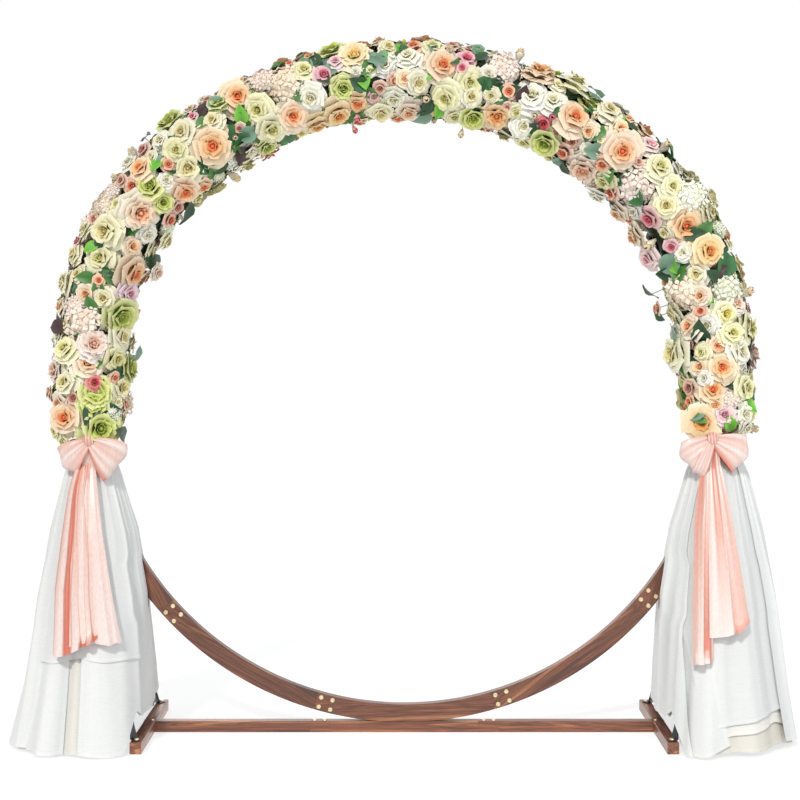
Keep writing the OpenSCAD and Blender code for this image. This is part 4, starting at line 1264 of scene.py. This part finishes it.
# %% Measure and finish a cloth
def measured(bm, columns, rows):
    """Greatest width, length and area of a grid of cloth, measured along the cloth."""
    bm.verts.ensure_lookup_table()
    points = [v.co for v in bm.verts]

    def run(indices):
        return sum((points[a] - points[b]).length for a, b in zip(indices, indices[1:]))

    wide = max(run([(columns + 1) * r + c for c in range(columns + 1)])
               for r in range(rows + 1))
    length = max(run([(columns + 1) * r + c for r in range(rows + 1)])
                 for c in (0, columns // 2, columns))
    return wide, length, sum(f.calc_area() for f in bm.faces)


def finish_cloth(bm, name, slot, material, nodes, cells):
    """Turn a grid into a measured sheet of cloth that replaces CAD nodes, which are hidden."""
    wide, length, area = measured(bm, *cells)
    mesh = bpy.data.meshes.new(name)
    bmesh.ops.recalc_face_normals(bm, faces=bm.faces)
    bm.to_mesh(mesh)
    bm.free()
    smooth(mesh)
    piece = new_piece(mesh, name, slot, material)
    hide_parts(*nodes)
    wide, length = math.ceil(wide * 1000) / 1000, math.ceil(length * 1000) / 1000


# %% [markdown]
# Every layer of a tent is one grid: its columns run down the folds and its rows run round the
# tent. The grid's u runs from the layer's one border to the other, and its s from neck to hem.
# The borders and the hem are given as tables, so that a layer can be a narrow panel, a puffed
# flap or half the tent.

# %% One layer of voile
FRONT, REAR, LEFT, RIGHT = -1, 1, -1, 1
# The painted shade goes from valley to crest over this depth of fold, and a hem stands out by this
# much
FOLD_DEPTH, HEM_FLARE = 0.014, 0.002
# Half round the tent in metres: at the neck, and how much more at the floor
HALF_ROUND, HALF_ROUND_MORE = 0.226, 0.76


def straight(f):
    """A border that stays at one place round the tent."""
    return ((0, 1), (f, f))


def voile(name, side, end, borders, hem, out=0.0, folds=(), seed=1.0, dye_and_shade="white", top=0.998,
          edge_lift=(0, 0), cells=(96, 60)):
    """One layer of a tent. borders: for each side a table (s, f); hem: a table (f, z).
    out is how far the layer lies off the tent, in metres, so that layers don't touch. folds are
    its named folds, and edge_lift is how much more its two borders stand out."""
    bm = bmesh.new()
    dye_and_painted_light = bm.verts.layers.float_color.new("dye_and_painted_light")
    border = bm.verts.layers.float.new("border")
    bmesh.ops.create_grid(bm, x_segments=cells[0], y_segments=cells[1], size=1.0)
    valley, crest = (np.array(linear(h)[:3]) for h in VOILE_DYES_AND_SHADE[dye_and_shade])
    for vert in bm.verts:
        u, s = (vert.co.x + 1) / 2, (1 - vert.co.y) / 2
        # The rows lie a little closer towards the hem
        s = s ** 0.85
        left, right = (float(np.interp(s, *table)) for table in borders)
        f = left + (right - left) * u
        low = float(np.interp(f, *hem)) + 0.003 * math.sin(31 * f + 5 * seed)
        z = top + (low - top) * s
        # How far down the tent this point is, whatever the layer's own length
        fallen = (top - z) / top
        wave = pleats(f, fallen, seed) + named_folds(f, fallen, folds)
        lift = (edge_lift[0] * math.exp(-u / 0.10) + edge_lift[1] * math.exp(-(1 - u) / 0.10))
        flare = HEM_FLARE * math.exp(-(1 - s) / 0.04)
        vert.co = tent_point(side, end, f, z, out + wave + lift * ease(s * 1.5) + flare)
        # How far the point is from the cut edge, for the hem
        half_round = HALF_ROUND + HALF_ROUND_MORE * fallen
        to_sides = [d * (right - left) * half_round for d in (u, 1 - u)]
        vert[border] = min((top - low) * (1 - s), *to_sides)
        # Painted shade: the dye is darker in the valleys of the folds than on the crests
        share = min(1.0, max(0.0, 0.5 + wave / FOLD_DEPTH))
        vert[dye_and_painted_light] = (*(valley + (crest - valley) * share), 1.0)
    which = "left" if side < 0 else "right"
    half = "front" if end < 0 else "rear"
    finish_cloth(bm, name, "drape_cloth", voile_cloth, [f"drape_{which}_{half}"],
                 cells)


# A hem that lifts over the foot on the inner side, and elsewhere ends just off the floor
OVER_FOOT = ((0, 0.20, 0.255, 0.30, 0.345, 1), (0.088, 0.096, 0.125, 0.070, 0.006, 0.006))

# %% [markdown]
# ## The left tent
#
# From the front it shows a long skirt, a shorter overlay whose hem crosses at a third of the
# height, an inner panel with a free edge down the middle, a small rounded flap beside it and
# a narrow outer panel that flares at the floor.

# %% Left tent
LEFT_FOLDS = [(0.10, 0.03, 5, 0.2), (0.22, 0.035, 8, 0.25), (0.36, 0.03, -5, 0.3),
              (0.45, 0.03, 8, 0.4), (0.545, 0.022, -13, 0.25), (0.62, 0.034, 9, 0.35),
              (0.74, 0.03, 7, 0.4), (0.90, 0.03, -8, 0.3)]
# The skirt gets a warmer dye: painted shade for the valley where it shows between the panels
voile("left_skirt_front", LEFT, FRONT, (straight(0.0), straight(1.0)), OVER_FOOT, out=-0.010,
      folds=LEFT_FOLDS, seed=1.0, dye_and_shade="warm", cells=(150, 70))
voile("left_inner_panel", LEFT, FRONT, (straight(0.0), ((0, 0.4, 1), (0.48, 0.492, 0.492))),
      OVER_FOOT, out=-0.003, folds=LEFT_FOLDS, seed=1.0, edge_lift=(-0.006, 0.005),
      cells=(90, 70))
voile("left_outer_panel", LEFT, FRONT,
      (((0, 0.35, 0.65, 0.85, 1), (0.66, 0.66, 0.68, 0.68, 0.70)),
       ((0, 0.35, 0.65, 0.85, 1), (0.80, 0.80, 0.80, 0.84, 0.88))),
      ((0, 1), (0.012, 0.012)), out=0.003,
      folds=LEFT_FOLDS + [(0.82, 0.06, 16, 0.72)], seed=1.0, edge_lift=(-0.006, -0.006),
      cells=(50, 70))
voile("left_puff", LEFT, FRONT, (((0, 0.6, 1), (0.55, 0.553, 0.546)),
                                 ((0, 0.6, 1), (0.68, 0.69, 0.70))),
      ((0.55, 0.67), (0.008, 0.008)), out=-0.003,
      folds=LEFT_FOLDS + [(0.625, 0.030, 13, 0.60)], seed=1.0, cells=(40, 70))
voile("left_overlay_front", LEFT, FRONT, (straight(0.01), straight(0.69)),
      ((0.0, 0.15, 0.35, 0.5, 0.69), (0.292, 0.286, 0.296, 0.304, 0.285)), out=0.0006,
      folds=LEFT_FOLDS, seed=1.0, edge_lift=(-0.003, 0), cells=(120, 60))

# %% [markdown]
# ## The right tent
#
# The right one fell differently: a long inner panel hangs in front with a free edge, a puffed
# fold swings round its foot, and the middle layers end in short lifted hems that show their
# undersides, painted in a warmer, darker shade.

# %% Right tent
RIGHT_FOLDS = [(0.10, 0.03, 5, 0.2), (0.22, 0.03, 8, 0.3), (0.33, 0.025, -9, 0.3),
               (0.42, 0.03, 7, 0.3), (0.50, 0.02, -7, 0.3), (0.58, 0.03, 7, 0.25),
               (0.68, 0.025, -6, 0.25), (0.80, 0.03, 8, 0.3), (0.90, 0.02, -5, 0.4)]
# The skirt and lower overlay get warmer, darker dyes, painted shade for undersides seen below the
# lifted hems; the puff and upper overlay a greyer one, painted shade that tones them down where
# they face the sun
voile("right_skirt_front", RIGHT, FRONT, (straight(0.0), straight(1.0)),
      ((0, 0.20, 0.255, 0.30, 0.345, 0.45, 0.7, 1),
       (0.088, 0.096, 0.125, 0.070, 0.006, 0.014, 0.020, 0.006)),
      out=-0.012, folds=RIGHT_FOLDS, seed=6.0, dye_and_shade="beige_in_shade", cells=(150, 70))
voile("right_lower_overlay", RIGHT, FRONT, (straight(0.40), straight(0.80)),
      ((0.40, 0.47, 0.6, 0.7, 0.8), (0.065, 0.060, 0.080, 0.092, 0.070)), out=-0.006,
      folds=RIGHT_FOLDS, seed=6.0, dye_and_shade="warm", cells=(80, 64))
voile("right_puff", RIGHT, FRONT,
      (((0, 0.7, 1), (0.27, 0.28, 0.30)), ((0, 0.7, 1), (0.42, 0.43, 0.49))),
      ((0.27, 0.34, 0.40, 0.5), (0.055, 0.010, 0.010, 0.040)), out=-0.004,
      folds=RIGHT_FOLDS + [(0.41, 0.040, 18, 0.62)], seed=6.0, dye_and_shade="shade", edge_lift=(0, 0.003),
      cells=(50, 70))
voile("right_upper_overlay", RIGHT, FRONT,
      (((0, 0.6, 1), (0.22, 0.25, 0.44)), straight(0.77)),
      ((0.44, 0.5, 0.62, 0.77), (0.095, 0.098, 0.122, 0.135)), out=0.001,
      folds=RIGHT_FOLDS, seed=6.0, dye_and_shade="shade", edge_lift=(0, 0.003), cells=(110, 64))
voile("right_inner_panel", RIGHT, FRONT,
      (straight(0.0), ((0, 0.4, 0.7, 1), (0.28, 0.28, 0.30, 0.37))), OVER_FOOT, out=0.005,
      folds=RIGHT_FOLDS, seed=6.0, edge_lift=(-0.014, 0.001), cells=(80, 70))
voile("right_outer_panel", RIGHT, FRONT,
      (straight(0.72), straight(1.0)), ((0.7, 1), (0.030, 0.022)), out=0.006,
      folds=RIGHT_FOLDS, seed=6.0, edge_lift=(0.004, -0.010), cells=(60, 70))

# %% [markdown]
# ## Behind
#
# The backs are plainer: a skirt to the floor and one overlay, both closed round the braces.

# %% Rear halves
for side, name, seed, rear_folds in ((LEFT, "left", 1.0, LEFT_FOLDS),
                                     (RIGHT, "right", 6.0, RIGHT_FOLDS)):
    voile(name + "_skirt_rear", side, REAR, (straight(0.0), straight(1.0)), OVER_FOOT,
          out=-0.010, folds=rear_folds, seed=seed, dye_and_shade="rear", cells=(150, 70))
    voile(name + "_overlay_rear", side, REAR, (straight(0.30), straight(0.93)),
          ((0.3, 0.5, 0.7, 1), (0.31, 0.33, 0.32, 0.30)), out=0.002, folds=rear_folds,
          seed=seed, dye_and_shade="white", edge_lift=(0.003, 0.003), cells=(110, 60))

# %% [markdown]
# ## Satin sashes
#
# A satin band is wound and ruched round each neck, and knotted in front into a bow with two
# loops and two long tails. Satin shows nearly white where a fold faces the light and deep
# salmon where it turns away, so a painted highlight and painted shade follow the pleats in the
# colour of the points. Each piece is a grid again, and a small shape function says where a
# point of it lies and how pale its painted light is.

# %% Satin strips and the band
# The band's upper edge, its width down the neck and its radius
BAND_TOP, BAND_WIDE, BAND_R = 0.9985, 0.043, 0.0765
# Painted shade, the satin's own colour and a painted highlight
SATIN_PAINTED_SHADE, SATIN_MID, SATIN_PAINTED_HIGHLIGHT = (np.array(linear(h)[:3])
                                     for h in ("#d97a64", "#e6b8aa", "#f3e4df"))


def satin_dye_and_painted_light(share):
    """Painted shade in deep salmon at 0, the satin's own salmon pink at a half and a painted
    highlight, nearly white, at 1.
    """
    share = min(1.0, max(0.0, share))
    if share < 0.5:
        return (*(SATIN_PAINTED_SHADE + (SATIN_MID - SATIN_PAINTED_SHADE) * share * 2), 1.0)
    return (*(SATIN_MID + (SATIN_PAINTED_HIGHLIGHT - SATIN_MID) * (share * 2 - 1)), 1.0)


def satin_strip(name, cells, shape, node):
    """A strip of satin: shape gives a place and a dye share for each point of the grid."""
    bm = bmesh.new()
    dye_and_painted_light = bm.verts.layers.float_color.new("dye_and_painted_light")
    bmesh.ops.create_grid(bm, x_segments=cells[0], y_segments=cells[1], size=1.0)
    for vert in bm.verts:
        place, share = shape((vert.co.x + 1) / 2, (1 - vert.co.y) / 2)
        vert.co = place
        vert[dye_and_painted_light] = satin_dye_and_painted_light(share)
    finish_cloth(bm, name, "sash_satin", satin_cloth, [node], cells)


def band_shape(side):
    """The ruched band: its edges roll in and slanting creases run round it."""
    def shape(u, s):
        turn = 2 * math.pi * u
        crease = ridge(9 * turn + 5 * s + side) * 0.5 + ridge(14 * turn - 4 * s) * 0.5
        roll = math.sin(math.pi * s) ** 0.5
        radius = BAND_R + 0.007 * roll + 0.0045 * crease * roll
        z = BAND_TOP - BAND_WIDE * s + 0.002 * math.sin(3 * turn)
        # Painted highlight on the crests of the creases, painted shade between them
        return Vector((side * NECK_X + radius * math.cos(turn), radius * math.sin(turn), z)), \
            0.15 + 0.9 * crease
    return shape


# %% [markdown]
# A bow loop is a strip that leaves the knot, turns over and comes back behind itself. Its grid
# follows that path, so front and back are one cloth. Four soft ridges fan out of the knot. The
# loop also has to stay clear of the tent behind it, so the tent's skin is worked out for it.

# %% Loops and knots
KNOT_HALF_WIDE, KNOT_R = 0.017, 0.021
# The ridges of a loop: where across it, and how high
LOOP_RIDGES = ((-0.66, 0.8), (-0.16, 1.0), (0.26, 0.7), (0.72, 0.9))


def front_skin(x, z):
    """How far in front of the ring's plane the tent lies at a place."""
    mid, half_x, half_y, fall = plan(z)
    c = max(-1.0, min(1.0, (mid - abs(x)) / half_x))
    cosine = c ** (1 / (1 - 0.78 * fall)) if c > 0 else c
    return float(half_y * max(0.0, 1 - cosine * cosine) ** (0.5 * (1 - 0.2 * fall)))


def loop_shape(knot, angle, length, height, depth, seed):
    """A bow loop: it fans out of the knot at an angle, turns over and comes back behind."""
    along = Vector((math.cos(math.radians(angle)), 0, math.sin(math.radians(angle))))
    across = Vector((-along.z, 0, along.x))

    def shape(u, s):
        w = 2 * u - 1
        reach = math.sin(math.pi * s) ** 0.85
        front = math.cos(math.pi * s)
        half = 0.010 + (height - 0.010) * reach ** 0.8
        fold = sum(h * math.exp(-((w - c - 0.09 * math.sin(3 * s + seed)) / 0.19) ** 2)
                   for c, h in LOOP_RIDGES)
        fold *= 0.75 + 0.25 * math.sin(5 * w + 2 * seed)
        soft = math.sin(4 * w + seed)
        place = knot + along * length * reach * (1 - 0.16 * w * w + 0.05 * soft) \
            + across * half * w * (1 + 0.10 * front)
        place.z -= 0.012 * (1 - front) * reach
        y = -knot.y + (depth * reach ** 0.6 + 0.013 * fold * reach ** 0.4) * front
        clear = front_skin(place.x, place.z) + 0.017 + 0.010 * (1 + front)
        place.y = -max(y, clear)
        # Painted shade in deep salmon under the lower edge, inside the loop and near the knot,
        # painted highlight on the sides of the folds
        under = math.exp(-((1 + w * math.copysign(1, along.x)) / 0.22) ** 2)
        share = 0.45 + 0.60 * fold if front > 0 else 0.10 + 0.45 * fold
        return place, share + 0.22 * reach - 0.12 - 0.45 * under
    return shape


def knot_shape(knot, seed):
    """The wrap round the middle: a short barrel with pleats along the cloth."""
    def shape(u, s):
        w = 2 * u - 1
        turn = 2 * math.pi * s
        crease = ridge(5 * w + 0.5 * math.sin(turn) + seed)
        radius = KNOT_R * (1 - 0.30 * w * w) + 0.003 * crease
        # Painted highlight on the crests of the pleats, painted shade between them
        return knot + Vector((KNOT_HALF_WIDE * w, -radius * 0.9 * math.cos(turn),
                              radius * 1.1 * math.sin(turn))), 0.25 + 0.8 * crease
    return shape


# %% [markdown]
# A tail hangs from the knot in front of the tent and widens as it falls. Its pleats, with their
# painted highlights and painted shade, change on the way down, so they are given twice, at the
# knot and at the hem, and blended. The last few centimetres of a hem may curl up and show the
# satin's back, painted darker or paler than the rest.

# %% The shape of a tail
TAIL_TOP = 0.985
# No part of the hem curls up
NOT_TURNED = (2, 2, 0)


def tail_shape(left, right, hem, high, low, off, turned):
    """A hanging tail. left and right are tables (z, x) of its edges, hem is a table (u, z).
    high and low are its folds at the knot and at the hem, as tables (u, share): 1 is a crest with
    a painted highlight, 0 a deep valley in painted shade. off is how far it hangs off the tent.
    turned is the part of the hem that curls up, from one u to another, and how much paler its
    painted light is there, darker below zero."""
    def shape(u, s):
        z = TAIL_TOP + (float(np.interp(u, *hem)) - TAIL_TOP) * s
        a, b = float(np.interp(z, *left)), float(np.interp(z, *right))
        v = u + 0.018 * math.sin(5 * s + 9 * a)
        fold = float(np.interp(v, *high) * (1 - s) + np.interp(v, *low) * s)
        x = a + (b - a) * u
        hang = max(front_skin(x, z) + off, 0.112 - 0.05 * s)
        y = -(hang + (0.004 + 0.016 * ease(s * 3)) * fold)
        curl = max(0.0, (s - 0.94) / 0.06) * (turned[0] < u < turned[1])
        return Vector((x, y - 0.012 * curl, z + 0.006 * curl)), fold + turned[2] * curl
    return shape


# %% [markdown]
# The two bows are tied alike, but the left one has two full loops and the right one a third,
# narrow one that hangs down. Each loop is given by its angle, length, half width and depth.

# %% Sash bands, knots and loops
BOWS = {
    "left": (-1, Vector((-1.050, -0.106, 1.004)),
             ((-36, 0.124, 0.072, 0.026), (218, 0.112, 0.052, 0.030))),
    "right": (1, Vector((1.026, -0.106, 1.008)),
              ((-24, 0.122, 0.064, 0.028), (212, 0.112, 0.054, 0.026),
               (246, 0.118, 0.026, 0.034))),
}
for which, (side, knot, loops) in BOWS.items():
    satin_strip(f"{which}_band", (150, 8), band_shape(side), f"sash_band_{which}")
    bow = f"sash_bow_{which}"
    satin_strip(f"{which}_knot", (12, 30), knot_shape(knot, side), bow)
    for number, (angle, length, height, depth) in enumerate(loops):
        satin_strip(f"{which}_loop_{number + 1}", (40, 50),
                    loop_shape(knot, angle, length, height, depth, side * 1.1 + number * 1.9),
                    bow)

# %% [markdown]
# Every sash ends in two tails, and all four differ in width, length and pleats, so each has its
# own tables. Heights and widths are in metres, and the tables of folds run across the tail.

# %% Tails
satin_strip("left_tail_wide", (60, 60), tail_shape(
    ((0.33, 0.6, 0.985), (-1.08, -1.09, -1.07)),
    ((0.36, 0.5, 0.7, 0.985), (-0.917, -0.950, -0.990, -1.040)),
    ((0, 0.5, 0.8, 0.9, 1), (0.350, 0.362, 0.352, 0.360, 0.356)),
    ((0, 0.3, 0.6, 0.8, 1), (0.5, 0.8, 0.6, 0.8, 0.7)),
    ((0, 0.2, 0.42, 0.5, 0.62, 0.80, 0.86, 0.94, 1),
     (0.7, 0.9, 0.95, 0.7, 0.98, 1, 0.78, 1, 0.9)),
    0.024, NOT_TURNED), "sash_tails_left")
satin_strip("left_tail_pleated", (90, 60), tail_shape(
    ((0.32, 0.526, 0.645, 0.765, 0.85, 0.985), (-1.135, -1.1415, -1.132, -1.122, -1.113, -1.075)),
    ((0.37, 0.5, 0.765, 0.81, 0.985), (-0.987, -1.009, -1.035, -1.044, -1.045)),
    ((0, 0.12, 0.3, 0.6, 0.8, 1), (0.322, 0.320, 0.324, 0.345, 0.352, 0.376)),
    ((0, 0.12, 0.24, 0.34, 0.44, 0.54, 0.66, 0.76, 0.86, 1),
     (0.2, 0.6, 0.7, 0.0, 0.4, 0.0, 0.0, 0.7, 0.1, 0.3)),
    ((0, 0.05, 0.14, 0.24, 0.29, 0.38, 0.46, 0.56, 0.62, 0.67, 0.73, 0.79, 0.88, 0.93, 1),
     (0.1, 0.8, 1.0, 0.9, 0.0, 0.0, 0.85, 1.0, 0.9, 0.1, 0.1, 0.9, 0.95, 0.0, 0.1)),
    0.030, (0.60, 1.0, -0.7)), "sash_tails_left")
satin_strip("right_tail_inner", (50, 60), tail_shape(
    ((0.286, 0.5, 0.717, 0.906, 0.985), (0.930, 0.942, 0.957, 0.988, 1.005)),
    ((0.29, 0.5, 0.717, 0.906, 0.985), (0.992, 0.999, 1.005, 1.018, 1.030)),
    ((0, 0.5, 0.9, 1), (0.292, 0.293, 0.295, 0.330)),
    ((0, 0.15, 0.35, 0.5, 0.7, 0.85, 1), (0.3, 0.1, 0.0, 0.5, 0.9, 0.7, 0.3)),
    ((0, 0.12, 0.25, 0.42, 0.52, 0.62, 0.88, 0.95, 1),
     (0.5, 0.6, 0.95, 1.0, 0.8, 0.05, 0.1, 0.6, 0.7)),
    0.030, (0.10, 0.85, 1.2)), "sash_tails_right")
satin_strip("right_tail_outer", (70, 60), tail_shape(
    ((0.38, 0.5, 0.717, 0.906, 0.985), (0.985, 0.990, 0.998, 1.012, 1.020)),
    ((0.40, 0.62, 0.8, 0.985), (1.123, 1.095, 1.070, 1.045)),
    ((0, 0.4, 0.62, 0.7, 1), (0.378, 0.383, 0.392, 0.386, 0.424)),
    ((0, 0.12, 0.22, 0.34, 0.52, 0.62, 0.72, 0.85, 1),
     (0.7, 0.9, 0.8, 0.0, 0.0, 0.8, 0.9, 0.45, 0.6)),
    ((0, 0.1, 0.3, 0.45, 0.58, 0.63, 0.70, 0.85, 1),
     (0.8, 0.95, 0.9, 0.95, 1.0, 0.4, 0.55, 0.6, 0.5)),
    0.026, (0.60, 1.0, -0.3)), "sash_tails_right")
